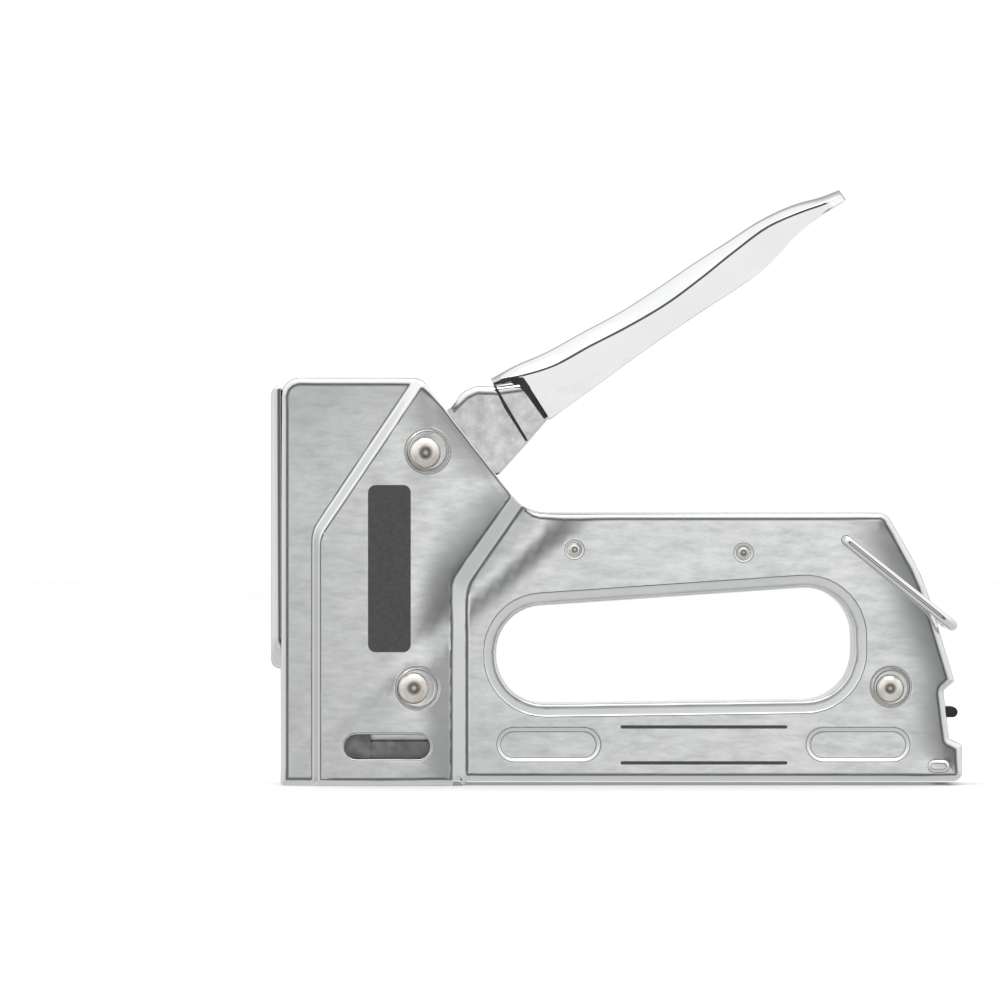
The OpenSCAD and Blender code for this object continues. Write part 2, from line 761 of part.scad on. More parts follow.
// The rear tab: an upright leaf with a foot on the spring and a rounded tab through the notch.
module magazine_latch() {
    leaf_rear = latch_leaf_x + latch_t;
    foot_low = cap_top - latch_foot_low;
    tab_half = 4;
    tab_round_x = leaf_rear + tab_len - tab_t / 2;
    color("#4a4c4e") place() {
        box([cap_front + 1.8, -latch_half, foot_low], [leaf_rear, latch_half, cap_top - 0.2]);
        box([latch_leaf_x, -latch_half, foot_low], [leaf_rear, latch_half, notch_high - 2.4]);
        box([latch_leaf_x, -tab_half, tab_z], [tab_round_x, tab_half, tab_z + tab_t]);
        translate([tab_round_x, tab_half, tab_z + tab_t / 2]) rotate([90, 0, 0])
            cylinder(r = tab_t / 2, h = 2 * tab_half);
    }
}

module latch_spring() {
    wire_band = 0.8;
    color("#6f7274") place() translate([latch_spring_x, 0, latch_spring_low]) difference() {
        cylinder(r = latch_spring_r, h = cap_top - latch_foot_low - latch_spring_low);
        translate([0, 0, -eps]) cylinder(r = latch_spring_r - wire_band, h = 10);
    }
}

// Bail

// A quarter turn of bail wire about [x, y], starting from the given angle.
module wire_turn(x, y, radius, from) {
    translate([x, y, 0]) rotate([0, 0, from]) rotate_extrude(angle = 90) translate([radius, 0]) circle(bail_wire / 2);
}

// The bent wire, flat in one plane, whose ends turn in through the sides of the grip.
module wire_bail() {
    r = bail_wire / 2;
    end_turn = r + 0.15;
    far_turn = 4;
    color("#d0d2d2") place() translate([bail_pivot.x, 0, bail_pivot.y]) rotate([0, bail_rest, 0]) {
        translate([bail_len, far_turn - bail_y, 0]) rotate([-90, 0, 0]) cylinder(r = r, h = 2 * (bail_y - far_turn));
        for (side = [-1, 1]) {
            translate([end_turn, side * bail_y, 0]) rotate([0, 90, 0])
                cylinder(r = r, h = bail_len - end_turn - far_turn);
            translate([0, side > 0 ? inner_half - 2 : end_turn - bail_y, 0]) rotate([-90, 0, 0])
                cylinder(r = r, h = bail_y - end_turn - inner_half + 2);
            wire_turn(end_turn, side * (bail_y - end_turn), end_turn, side > 0 ? 90 : 180);
            wire_turn(bail_len - far_turn, side * (bail_y - far_turn), far_turn, side > 0 ? 0 : 270);
        }
    }
}

left_shell();
right_shell();
front_cover();
nose_guide();
spring_cap();
plunger_stop();
bumper();
lever_pivot_pin();
pivot_washers();
head_rivet();
head_spacer();
rear_rivet();
rear_spacer();
grip_pins();
magazine_channel();
staple_rail();
head_labels();
power_spring();
lever_return_spring();
lever_arm();
handle_cover();
plunger();
driver_blade();
blade_rivets();
feeder_rod();
feeder_cap();
magazine_latch();
latch_spring();
follower();
follower_spring();
wire_bail();
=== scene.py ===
"""The looks of a lever staple gun: plated pressed shells, a chromed handle, a wire bail and coil springs.

Outlines are in millimetres, with x counted back from the nose and z up, and pieces are placed in metres.
"""

import math

import bmesh
import bpy
import numpy as np
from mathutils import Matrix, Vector
from mathutils.geometry import delaunay_2d_cdt

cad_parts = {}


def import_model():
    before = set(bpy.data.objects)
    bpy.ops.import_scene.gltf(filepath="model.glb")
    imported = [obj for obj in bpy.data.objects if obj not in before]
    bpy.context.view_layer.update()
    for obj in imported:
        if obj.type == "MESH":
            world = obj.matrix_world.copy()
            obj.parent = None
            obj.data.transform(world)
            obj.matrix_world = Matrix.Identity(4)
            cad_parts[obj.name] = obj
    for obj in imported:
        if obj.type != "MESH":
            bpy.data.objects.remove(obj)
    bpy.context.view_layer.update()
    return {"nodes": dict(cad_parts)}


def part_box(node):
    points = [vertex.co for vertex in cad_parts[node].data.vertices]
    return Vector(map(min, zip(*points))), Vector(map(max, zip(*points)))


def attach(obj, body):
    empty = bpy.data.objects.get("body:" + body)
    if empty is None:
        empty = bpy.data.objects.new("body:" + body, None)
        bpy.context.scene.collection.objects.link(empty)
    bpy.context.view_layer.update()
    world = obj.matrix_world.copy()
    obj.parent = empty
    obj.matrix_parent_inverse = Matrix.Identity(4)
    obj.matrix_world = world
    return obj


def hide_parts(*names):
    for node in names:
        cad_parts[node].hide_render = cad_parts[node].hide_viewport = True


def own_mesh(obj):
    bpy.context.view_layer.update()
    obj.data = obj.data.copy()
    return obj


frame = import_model()

MM = 0.001
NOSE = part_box("left_shell")[0].x


def box_mm(node):
    """Lowest and highest corner of a CAD node in millimetres, with x counted back from the nose."""
    return [np.array([p.x - NOSE, p.y, p.z]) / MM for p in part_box(node)]


def side_centre(node):
    """Middle of a CAD node in the side view, as (x, z)."""
    low, high = box_mm(node)
    return (low[[0, 2]] + high[[0, 2]]) / 2


# Sizes, in millimetres

BODY_LEN, _, HEAD_TOP = box_mm("left_shell")[1]
HEAD_HALF = -box_mm("left_shell")[0][1]
GRIP_HALF = box_mm("handle_cover")[1][1]
PIVOT = side_centre("lever_pivot_pin")
HEAD_RIVET = side_centre("head_rivet")
REAR_RIVET = side_centre("rear_rivet")
GRIP_TOP = 72.9
HEAD_LEN = 48.6
FOOT_STEP = 1.1
SHEET = 0.75                  # shell steel, thin enough to clear the raised plunger under the leaning head
BEND = 1.9                    # radius along the shell edges
SEAM = 0.06                   # half the seam between the shells
FOOT_OPEN = 6.85              # half the open foot, for the magazine
REAR_OPEN = 5.6               # half the open rear, for the feeder
SLOPE_FOOT = HEAD_LEN + 16.9  # the slope behind the head
SLOPE_TOP = 37.6
NOTCH_X, NOTCH_LOW, NOTCH_HIGH = BODY_LEN - 5, 12.3, 25.3
HOLE_FRONT, HOLE_REAR = 57.7, BODY_LEN - 29.1
PINS = [(HOLE_FRONT + 20.9, GRIP_TOP - 9.9), (HOLE_FRONT + 66.1, GRIP_TOP - 10.7)]
LEVER_ANGLE = math.radians(32.4)
COVER_FRONT = 33.0            # along the lever, where the sides of its cover begin
TONGUE = 25.5                 # where the tongue of the cover begins
LEVER_LEN = 131.7
ARM_HALF = box_mm("lever_arm")[1][1]
BAIL_AT = (BODY_LEN - 31.2, GRIP_TOP - 7.3)
BAIL_ANGLE = math.radians(38.8)
BAIL_LEN = 36.5
BAIL_WIRE = 1.35              # radius

body_corners = [
    (0, 0, 1), (HEAD_LEN, 0, 0.4), (HEAD_LEN + FOOT_STEP, FOOT_STEP, 0.4), (BODY_LEN, FOOT_STEP, 2.4),
    (BODY_LEN, NOTCH_LOW - 1.5, 0.8), (NOTCH_X + 1.6, NOTCH_LOW, 0.8), (NOTCH_X, NOTCH_HIGH, 1.4),
    (BODY_LEN - 2, NOTCH_HIGH + 2.5, 1), (BODY_LEN - 10.6, GRIP_TOP - 16.7, 50),
    (BODY_LEN - 20.3, GRIP_TOP, 4), (SLOPE_FOOT, GRIP_TOP, 12), (SLOPE_TOP, HEAD_TOP, 4), (0, HEAD_TOP, 5),
]
hole_corners = [
    (HOLE_FRONT, 21.5, 13), (HOLE_REAR, 22.8, 13), (HOLE_REAR, 53.75, 13), (HOLE_FRONT, 47.25, 12.5),
]
# The raised panel of the head: where its bend starts from the grip's level, and where it meets the flat top.
panel_foot = [
    (8.5, -4, 0.5), (50.4, -4, 0.5), (50.4, 53.2, 9), (68.5, 79.2, 2),
    (42.5, 112.8, 2), (36.5, 110.2, 2), (8.5, 68.2, 9),
]
panel_top = [
    (10.7, -3, 0.5), (45.2, -3, 0.5), (45.2, 54.9, 5), (63.2, 80.6, 2),
    (40.6, 109.8, 2), (38.6, 107.4, 2), (10.7, 66.2, 7),
]
# Slots, each with its front end, its foot, its length and its height
window = (17.1, 7.2, 22.9, 6.5)
rail_ovals = [(HOLE_FRONT, 6.2, 28, 9.4), (HOLE_REAR - 12.9, 6.2, 28, 9.4)]
rear_boss = (BODY_LEN - 9.4, 3.5, 5.9, 3.4)
NO_POINTS = np.empty((0, 2))


# Outlines


def corner_arc(a, b, c, radius, step=math.radians(9)):
    """The points that round corner b between a and c."""
    a, b, c = (np.array(p[:2], float) for p in (a, b, c))
    u, w = (a - b) / np.linalg.norm(a - b), (c - b) / np.linalg.norm(c - b)
    half = math.acos(np.clip(u @ w, -1, 1)) / 2
    if radius <= 0 or half > math.radians(89.5):
        return [b]
    centre = b + (u + w) / np.linalg.norm(u + w) * radius / math.sin(half)
    start, end = b + u * radius / math.tan(half) - centre, b + w * radius / math.tan(half) - centre
    a0, a1 = math.atan2(start[1], start[0]), math.atan2(end[1], end[0])
    sweep = (a1 - a0 + 3 * math.pi) % (2 * math.pi) - math.pi
    count = max(2, math.ceil(abs(sweep) / step))
    angles = a0 + sweep * np.arange(count + 1) / count
    return list(centre + radius * np.stack([np.cos(angles), np.sin(angles)], 1))


def rounded(corners, closed=True):
    """The points of a corner list, each corner an (x, z, radius)."""
    count = len(corners)
    points = []
    for i, corner in enumerate(corners):
        if not closed and i in (0, count - 1):
            points.append(np.array(corner[:2], float))
        else:
            points += corner_arc(corners[i - 1], corner, corners[(i + 1) % count], corner[2])
    return np.array(points)


def divided(loop, step=4.5):
    """A loop with points added along its long straight stretches."""
    points = []
    for a, b in zip(loop, np.roll(loop, -1, axis=0)):
        steps = max(1, math.ceil(np.linalg.norm(b - a) / step))
        points += [a + (b - a) * k / steps for k in range(steps)]
    return np.array(points)


def inset(corners, t):
    """A counter-clockwise corner list moved inwards by t, with its arcs kept concentric."""
    moved = []
    for i, corner in enumerate(corners):
        a, b, c = (np.array(corners[j % len(corners)][:2], float) for j in (i - 1, i, i + 1))
        u, w = (b - a) / np.linalg.norm(b - a), (c - b) / np.linalg.norm(c - b)
        nu, nw = np.array([-u[1], u[0]]), np.array([-w[1], w[0]])
        at = b + t * (nu + nw) / (1 + nu @ nw)
        turn = u[0] * w[1] - u[1] * w[0]
        moved.append((at[0], at[1], max(0, corner[2] - t) if turn > 0 else corner[2] + t))
    return moved


def between(first, second, t):
    """A corner list part of the way from one to another."""
    return [tuple(np.array(a) * (1 - t) + np.array(b) * t) for a, b in zip(first, second)]


def stadium(x, z, length, height, grow=0.0):
    """A slot outline with round ends."""
    r = height / 2 + grow
    z += height / 2
    front, rear = x + height / 2, x + length - height / 2
    angles = np.radians(np.arange(-90, 91, 10))
    right = np.stack([rear + r * np.cos(angles), z + r * np.sin(angles)], 1)
    left = np.stack([front - r * np.cos(angles), z - r * np.sin(angles)], 1)
    return np.concatenate([right, left])


def circle(centre, radius, count=40):
    angles = np.arange(count) * 2 * math.pi / count
    return np.array(centre) + radius * np.stack([np.cos(angles), np.sin(angles)], 1)


def distance_to(points, path, closed=True):
    """Distance from each point to a line through the path's points."""
    a = path if closed else path[:-1]
    edge = (np.roll(path, -1, axis=0) if closed else path[1:]) - a
    away = points[:, None, :] - a[None]
    t = np.clip((away * edge).sum(2) / np.maximum((edge**2).sum(1), 1e-12), 0, 1)
    return np.linalg.norm(away - t[..., None] * edge, axis=2).min(1)


def is_inside(points, loop):
    a, b = loop, np.roll(loop, -1, axis=0)
    x, z = points[:, None, 0], points[:, None, 1]
    spans = (a[:, 1] > z) != (b[:, 1] > z)
    rise = np.where(np.abs(b[:, 1] - a[:, 1]) < 1e-12, 1e-12, b[:, 1] - a[:, 1])
    return (spans & (x < (b[:, 0] - a[:, 0]) * (z - a[:, 1]) / rise + a[:, 0])).sum(1) % 2 == 1


def depth_in(points, loop):
    """How far inside an outline each point lies, and negative outside."""
    return np.where(is_inside(points, loop), 1, -1) * distance_to(points, loop)


def smooth(t):
    t = np.clip(t, 0, 1)
    return t * t * (3 - 2 * t)


def s_bend(t, arc=0.28):
    """From 0 to 1 along a bend: an arc, a straight flank and an arc."""
    t = np.clip(t, 0, 1)
    low, high = t * t, (1 - t) ** 2
    scale = 2 * arc * (1 - arc)
    return np.where(t < arc, low / scale, np.where(t > 1 - arc, 1 - high / scale, (t - arc / 2) / (1 - arc)))


def round_drop(distance, radius):
    """How far a rounded edge falls away at a distance in from the edge."""
    back = np.clip(radius - distance, 0, radius)
    return radius - np.sqrt(radius**2 - back**2)


# Meshes


def placed(points):
    """Points in millimetres from the nose as metres in the shared frame."""
    points = np.array(points, float).reshape(-1, 3) * MM
    points[:, 0] += NOSE
    return points


def on_lever(points):
    """Points of the lever's own axes (along, across the gun, up) in millimetres, from the nose."""
    u, y, v = np.array(points, float).reshape(-1, 3).T
    c, s = math.cos(LEVER_ANGLE), math.sin(LEVER_ANGLE)
    return np.stack([PIVOT[0] + u * c - v * s, y, PIVOT[1] + u * s + v * c], 1)


def new_piece(name, points, faces, material, body, slot, nodes=()):
    """A smooth-shaded piece from points in millimetres, riding on a body and standing for CAD nodes."""
    mesh = bpy.data.meshes.new(name)
    mesh.from_pydata([tuple(p) for p in placed(points)], [], [tuple(f) for f in faces])
    mesh.materials.append(material)
    piece = bpy.data.objects.new(name, mesh)
    bpy.context.scene.collection.objects.link(piece)
    build = bmesh.new()
    build.from_mesh(mesh)
    bmesh.ops.remove_doubles(build, verts=build.verts, dist=1e-7)
    loose = [v for v in build.verts if not v.link_faces]
    bmesh.ops.delete(build, geom=loose, context="VERTS")
    build.to_mesh(mesh)
    build.free()
    mesh.shade_smooth()
    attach(piece, body)
    if nodes:
        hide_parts(*nodes)
    return piece


def finish_edges(piece, thickness=0.0, angle=38):
    """Gives a sheet its thickness in millimetres and settles its shading, sharp past an angle in degrees."""
    if thickness:
        solid = piece.modifiers.new("thickness", "SOLIDIFY")
        solid.thickness = thickness * MM
        solid.offset = -1
        solid.use_rim = True
    graph = bpy.context.evaluated_depsgraph_get()
    made = bpy.data.meshes.new_from_object(piece.evaluated_get(graph))
    piece.modifiers.clear()
    piece.data = made
    made.shade_smooth()
    made.set_sharp_from_angle(angle=math.radians(angle))
    weighted = piece.modifiers.new("shading", "WEIGHTED_NORMAL")
    weighted.keep_sharp = True
    weighted.weight = 80


def pressed_sheet(loops, extra, kept, height, turned_in):
    """A sheet through the loops as (along, out, up) points and faces.

    height gives how far out it stands, and turned_in how far out its edge walls end, or nan for a raw edge.
    """
    points, edges = [], []
    for loop in loops:
        first = len(points)
        points += [Vector(p) for p in loop]
        edges += [(first + i, first + (i + 1) % len(loop)) for i in range(len(loop))]
    points += [Vector(p) for p in extra]
    flat, _, faces, *_ = delaunay_2d_cdt(points, edges, [], 0, 1e-3)
    flat = np.array([tuple(p) for p in flat])
    faces = np.array(faces)
    faces = faces[kept(flat[faces].mean(1))]
    out = height(flat)
    verts = [(p[0], h, p[1]) for p, h in zip(flat, out)]
    directed = {(f[i], f[(i + 1) % 3]) for f in faces.tolist() for i in range(3)}
    rim = [e for e in sorted(directed) if (e[1], e[0]) not in directed]
    middle_end = turned_in(flat[np.array(rim)].mean(1))
    vertex_end = turned_in(flat)
    walls = []
    inner = {}
    for (a, b), end in zip(rim, middle_end):
        if np.isnan(end):
            continue
        for v in (a, b):
            if v not in inner:
                inner[v] = len(verts)
                reach = end if np.isnan(vertex_end[v]) else vertex_end[v]
                verts.append((flat[v][0], reach, flat[v][1]))
        walls.append((b, a, inner[a], inner[b]))
    return np.array(verts), [tuple(f) for f in faces.tolist()] + walls


def reversed_faces(faces):
    return [tuple(reversed(f)) for f in faces]


def sided(verts, faces, side):
    """A pressed sheet's points and faces as a half on one side of the gun: -1 left, 1 right."""
    points = np.stack([verts[:, 0], side * verts[:, 1], verts[:, 2]], 1)
    return points, faces if side < 0 else reversed_faces(faces)


def lofted(rows, closed_rows=False):
    """Points and faces of a skin through rows of equally many points."""
    rows = np.array(rows, float)
    count, width, _ = rows.shape
    faces = []
    for i in range(count - 1):
        for j in range(width if closed_rows else width - 1):
            k = (j + 1) % width
            faces.append((i * width + j, i * width + k, (i + 1) * width + k, (i + 1) * width + j))
    return rows.reshape(-1, 3), faces


def swept(path, radius, sides=12):
    """A round wire along a path, with closed ends."""
    path = np.array(path, float)
    ahead = np.gradient(path, axis=0)
    ahead /= np.linalg.norm(ahead, axis=1)[:, None]
    side = np.cross(ahead[0], (0.3, 0.5, 0.81))
    rows = []
    angles = np.arange(sides) * 2 * math.pi / sides
    for point, way in zip(path, ahead):
        side -= way * (side @ way)
        side /= np.linalg.norm(side)
        other = np.cross(way, side)
        rows.append(point + radius * (np.outer(np.cos(angles), side) + np.outer(np.sin(angles), other)))
    points, faces = lofted(rows, closed_rows=True)
    last = len(path) * sides
    faces.append(tuple(reversed(range(sides))))
    faces.append(tuple(range(last - sides, last)))
    return points, reversed_faces(faces)


def coil(radius, height, turns, closed_turns=1.0, step=18):
    """Points of a compression spring's wire along +z, with its end turns laid close."""
    pitch_flat = height * 0.035
    rises = [0, closed_turns, turns - closed_turns, turns]
    levels = [0, pitch_flat, height - pitch_flat, height]
    at = np.linspace(0, turns, int(turns * step) + 1)
    z = np.interp(at, rises, levels)
    angle = 2 * math.pi * at
    return np.stack([radius * np.cos(angle), radius * np.sin(angle), z], 1)


def turned(profile, centre, segments=48):
    """A round piece across the gun at (x, z), from (radius, y) points that start and end on its axis."""
    angles = np.arange(segments) * 2 * math.pi / segments
    rows = []
    for radius, y in profile:
        x = centre[0] + radius * np.cos(angles)
        z = centre[1] + radius * np.sin(angles)
        rows.append(np.stack([x, np.full(segments, y), z], 1))
    return lofted(rows, closed_rows=True)


def joined(parts):
    """Several (points, faces) pairs as one."""
    points, faces = [], []
    for p, f in parts:
        start = sum(len(q) for q in points)
        points.append(np.array(p))
        faces += [tuple(i + start for i in face) for face in f]
    return np.concatenate(points), faces


# Materials


class Finish:
    """A Principled material with helpers that wire up procedural detail in object space."""

    def __init__(self, name, colour, metallic, roughness):
        self.material = bpy.data.materials.new(name)
        self.material.use_nodes = True
        self.nodes = self.material.node_tree.nodes
        self.links = self.material.node_tree.links
        self.shader = self.nodes["Principled BSDF"]
        self.shader.inputs["Base Color"].default_value = (*colour, 1)
        self.shader.inputs["Metallic"].default_value = metallic
        self.shader.inputs["Roughness"].default_value = roughness
        self.coordinates = self.nodes.new("ShaderNodeTexCoord")
        self.normal = None

    def noise(self, scale, detail=3.0, rough=0.55, stretch=(1, 1, 1)):
        mapping = self.nodes.new("ShaderNodeMapping")
        mapping.inputs["Scale"].default_value = stretch
        self.links.new(self.coordinates.outputs["Object"], mapping.inputs["Vector"])
        texture = self.nodes.new("ShaderNodeTexNoise")
        texture.inputs["Scale"].default_value = scale
        texture.inputs["Detail"].default_value = detail
        texture.inputs["Roughness"].default_value = rough
        self.links.new(mapping.outputs["Vector"], texture.inputs["Vector"])
        return texture.outputs["Fac"]

    def ramp(self, source, stops):
        ramp = self.nodes.new("ShaderNodeValToRGB")
        elements = ramp.color_ramp.elements
        while len(elements) < len(stops):
            elements.new(0.5)
        for element, (position, colour) in zip(elements, stops):
            element.position = position
            element.color = (*colour, 1)
        self.links.new(source, ramp.inputs["Fac"])
        return ramp.outputs["Color"]

    def spread(self, source, low, high):
        spread = self.nodes.new("ShaderNodeMapRange")
        spread.inputs["From Min"].default_value = 0.3
        spread.inputs["From Max"].default_value = 0.7
        spread.inputs["To Min"].default_value = low
        spread.inputs["To Max"].default_value = high
        self.links.new(source, spread.inputs["Value"])
        return spread.outputs["Result"]

    def colour_from(self, source, stops):
        self.links.new(self.ramp(source, stops), self.shader.inputs["Base Color"])

    def roughness_from(self, source, low, high):
        self.links.new(self.spread(source, low, high), self.shader.inputs["Roughness"])

    def bump(self, source, height_mm, strength=1.0):
        bump = self.nodes.new("ShaderNodeBump")
        bump.inputs["Distance"].default_value = height_mm * MM
        bump.inputs["Strength"].default_value = strength
        self.links.new(source, bump.inputs["Height"])
        if self.normal is not None:
            self.links.new(self.normal, bump.inputs["Normal"])
        self.normal = bump.outputs["Normal"]
        self.links.new(self.normal, self.shader.inputs["Normal"])


def grey(value):
    return (value, value, value)


def plated_steel():
    """Bright zinc-nickel plating on rolled sheet: soft rolling marks, faint clouding and fine pits."""
    finish = Finish("plated_steel", grey(0.72), 1.0, 0.18)
    shades = [(0.3, (0.7, 0.715, 0.715)), (0.5, (0.745, 0.76, 0.755)), (0.72, (0.775, 0.78, 0.775))]
    finish.colour_from(finish.noise(32, 4, 0.6), shades)
    finish.roughness_from(finish.noise(150, 4, 0.7, stretch=(1, 1, 3.2)), 0.13, 0.22)
    finish.bump(finish.noise(11, 1, 0.4), 0.14, 0.2)
    finish.bump(finish.noise(1100, 3, 0.6, stretch=(0.2, 1, 1)), 0.003, 0.25)
    finish.bump(finish.noise(3000, 2, 0.7), 0.0015, 0.5)
    return finish.material


def polished_chrome():
    finish = Finish("polished_chrome", grey(0.86), 1.0, 0.09)
    finish.colour_from(finish.noise(40, 3), [(0.35, (0.75, 0.76, 0.765)), (0.65, (0.79, 0.79, 0.785))])
    finish.roughness_from(finish.noise(220, 5, 0.7), 0.06, 0.14)
    finish.bump(finish.noise(55, 2, 0.5), 0.03, 0.3)
    return finish.material


def lever_steel():
    """Plated lever steel, satin along its length."""
    finish = Finish("lever_steel", grey(0.78), 1.0, 0.2)
    finish.colour_from(finish.noise(60, 4), [(0.3, (0.72, 0.735, 0.74)), (0.7, (0.83, 0.83, 0.82))])
    finish.roughness_from(finish.noise(260, 4, 0.7), 0.16, 0.27)
    finish.bump(finish.noise(1100, 3, 0.6, stretch=(1, 1, 0.3)), 0.003, 0.5)
    return finish.material


def rivet_steel():
    """Warm nickel, a little worn on the crowns."""
    finish = Finish("rivet_steel", (0.78, 0.74, 0.68), 1.0, 0.2)
    finish.colour_from(finish.noise(300, 4), [(0.3, (0.66, 0.61, 0.55)), (0.65, (0.86, 0.83, 0.78))])
    finish.roughness_from(finish.noise(700, 4, 0.7), 0.13, 0.3)
    finish.bump(finish.noise(1500, 3), 0.004, 0.6)
    return finish.material


def inner_steel():
    """Plain cold-rolled steel with an oily film."""
    finish = Finish("inner_steel", grey(0.45), 1.0, 0.35)
    finish.colour_from(finish.noise(120, 5, 0.65), [(0.3, (0.36, 0.37, 0.38)), (0.7, (0.55, 0.55, 0.54))])
    finish.roughness_from(finish.noise(300, 4), 0.28, 0.45)
    finish.bump(finish.noise(1300, 3, 0.6, stretch=(0.2, 1, 1)), 0.006, 0.6)
    return finish.material


def dark_steel():
    """Black-oxide steel, rubbed a little where it slides."""
    finish = Finish("dark_steel", grey(0.045), 0.85, 0.42)
    shades = [(0.35, (0.032, 0.033, 0.035)), (0.75, (0.09, 0.09, 0.092))]
    finish.colour_from(finish.noise(150, 5, 0.7), shades)
    finish.roughness_from(finish.noise(500, 4), 0.35, 0.55)
    finish.bump(finish.noise(1800, 3), 0.006, 0.5)
    return finish.material


def spring_steel():
    finish = Finish("spring_steel", grey(0.3), 1.0, 0.3)
    finish.colour_from(finish.noise(400, 4), [(0.3, (0.2, 0.205, 0.215)), (0.7, (0.4, 0.4, 0.4))])
    finish.roughness_from(finish.noise(900, 3), 0.24, 0.4)
    finish.bump(finish.noise(2500, 2), 0.003, 0.5)
    return finish.material


def bumper_rubber():
    finish = Finish("bumper_rubber", grey(0.02), 0.0, 0.7)
    finish.colour_from(finish.noise(300, 4), [(0.3, (0.014, 0.014, 0.014)), (0.7, (0.035, 0.034, 0.033))])
    finish.roughness_from(finish.noise(700, 4), 0.6, 0.85)
    finish.bump(finish.noise(2200, 4), 0.02, 0.7)
    return finish.material


def label_ink():
    """Screen-printed ink, slightly mottled where it took unevenly."""
    finish = Finish("label_ink", grey(0.055), 0.0, 0.45)
    shades = [(0.3, (0.045, 0.046, 0.048)), (0.8, (0.075, 0.076, 0.078))]
    finish.colour_from(finish.noise(900, 5, 0.7), shades)
    finish.roughness_from(finish.noise(500, 4), 0.38, 0.55)
    finish.bump(finish.noise(3000, 3), 0.004, 0.5)
    return finish.material


PLATED = plated_steel()
CHROME = polished_chrome()
LEVER = lever_steel()
RIVET = rivet_steel()
INNER = inner_steel()
DARK = dark_steel()
SPRING = spring_steel()
RUBBER = bumper_rubber()
INK = label_ink()


# Shells

body_outline = rounded(body_corners)
hole_outline = rounded(hole_corners)
window_outline = stadium(*window)
arch_outline = np.array([
    (46.1, -1), (48.7, -1), (48.7, 1.5), (48.4, 2.3), (47.7, 2.75), (46.9, 2.6), (46.3, 2), (46.1, 1),
])
# A shallow dish round each rivet, as its centre and radius
dishes = [(PIVOT + (0.7, 0.5), 6.2), (HEAD_RIVET + (1.0, 0), 6.0), (REAR_RIVET + (0.3, 0.4), 5.6)]
DIMPLE_RADIUS = 2.7           # the dimple round a grip pin
HEAD_LEAN = 0.0007            # how fast the head's sides lean in above the grip
ROLL_OFF = 0.9                # how far the panel sinks towards its rear bend
REAR_SINK = 0.95              # how far the sides sink towards the rear edge
CORNER_SINK = 0.6             # and in the corner between the grip and the slope
rear_edge = np.array([
    (BODY_LEN, 4), (BODY_LEN - 1, 20), (BODY_LEN - 1, 30),
    (BODY_LEN - 10.6, GRIP_TOP - 16.7), (BODY_LEN - 20.3, GRIP_TOP),
])
corner_mark = np.array((68, 62.5))
corner_way = np.array((-0.66, 0.75))
# Where the mesh's outlines lie across each bend: as shares of it for the first two, and then in millimetres
edge_steps = [0, 0.05, 0.19, 0.41, 0.69, 1]
panel_steps = [0, 0.09, 0.19, 0.28, 0.5, 0.72, 0.81, 0.91, 1]
rim_steps = [0, 0.05, 0.2, 0.42, 0.7, 1, 1.6, 2.3, 2.95, 3.05, 3.15, 3.3, 3.6]
window_steps = [0, 0.03, 0.1, 0.22, 0.36, 0.5, 0.8]
oval_steps = [-0.3, 0, 0.13, 0.25, 0.37, 0.65, 0.93, 1.05, 1.17, 1.3, 1.6]
boss_steps = [-0.2, 0, 0.12, 0.25, 0.45, 0.65, 0.78, 0.9, 1.1]
dish_steps = [-0.3, 0, 0.15, 0.3, 0.55, 0.8, 0.95, 1.1, 1.5]
dimple_steps = [-0.2, 0, 0.11, 0.22, 0.4, 0.58, 0.69, 0.8]


def on_slope(points):
    """True along the open slope behind the head, where the lever comes out."""
    along = (HEAD_TOP - points[:, 1]) * (SLOPE_FOOT - SLOPE_TOP) / (HEAD_TOP - GRIP_TOP) + SLOPE_TOP
    near = np.abs(points[:, 0] - along) < 1.6
    return near & (points[:, 1] > GRIP_TOP + 1.2) & (points[:, 1] < HEAD_TOP - 4)


# The edge that has a wall turned in: all of the outline but the open slope, from the slope's end round.
open_edge = on_slope(body_outline)
wall_start = int(np.argmax(np.roll(open_edge, 1) & ~open_edge))
wall_path = np.roll(body_outline, -wall_start, axis=0)
wall_path = wall_path[~on_slope(wall_path)]


def hole_drop(away):
    """The rim pressed in round the hand hole: a crisp step, a sloping flank and a rounded lip."""
    step = 0.28 * smooth((3.3 - away) / 0.35)
    flank = 0.75 * np.clip((2.95 - away) / 1.95, 0, 1)
    return np.where(away < 3.4, step + flank + round_drop(away, 1.0), 0)


def panel_height(points):
    """How far out the sheet stands with its head panel raised, and sunk towards the panel's rear bend."""
    foot = depth_in(points, rounded(panel_foot))
    top = depth_in(points, rounded(panel_top))
    near_bend = np.clip(1 - np.maximum(top, 0) / 17, 0, 1) ** 2
    rise = HEAD_HALF - GRIP_HALF - ROLL_OFF * near_bend * smooth((points[:, 0] - 28) / 16)
    return GRIP_HALF + rise * s_bend(foot / np.maximum(foot - top, 1e-6))


def side_sinks(points):
    """How far the sides lean or sink in: up the head, by the rear edge and in the corner behind the head."""
    up = points[:, 1]
    lean = HEAD_LEAN * np.clip(up - 62, 0, 60) ** 2 / 2
    near_rear = np.clip(1 - distance_to(points, rear_edge, closed=False) / 15, 0, 1) ** 2
    rear = REAR_SINK * near_rear * smooth((up - 4) / 6) * smooth((GRIP_TOP + 1 - up) / 9)
    across = (points - corner_mark) @ corner_way
    along = (points - corner_mark) @ corner_way[::-1]
    near_corner = smooth(across / 6.5 + 0.5) * np.exp(-((along / 8.5) ** 2)) * (1 - smooth((across - 9) / 5))
    return lean + rear + CORNER_SINK * near_corner


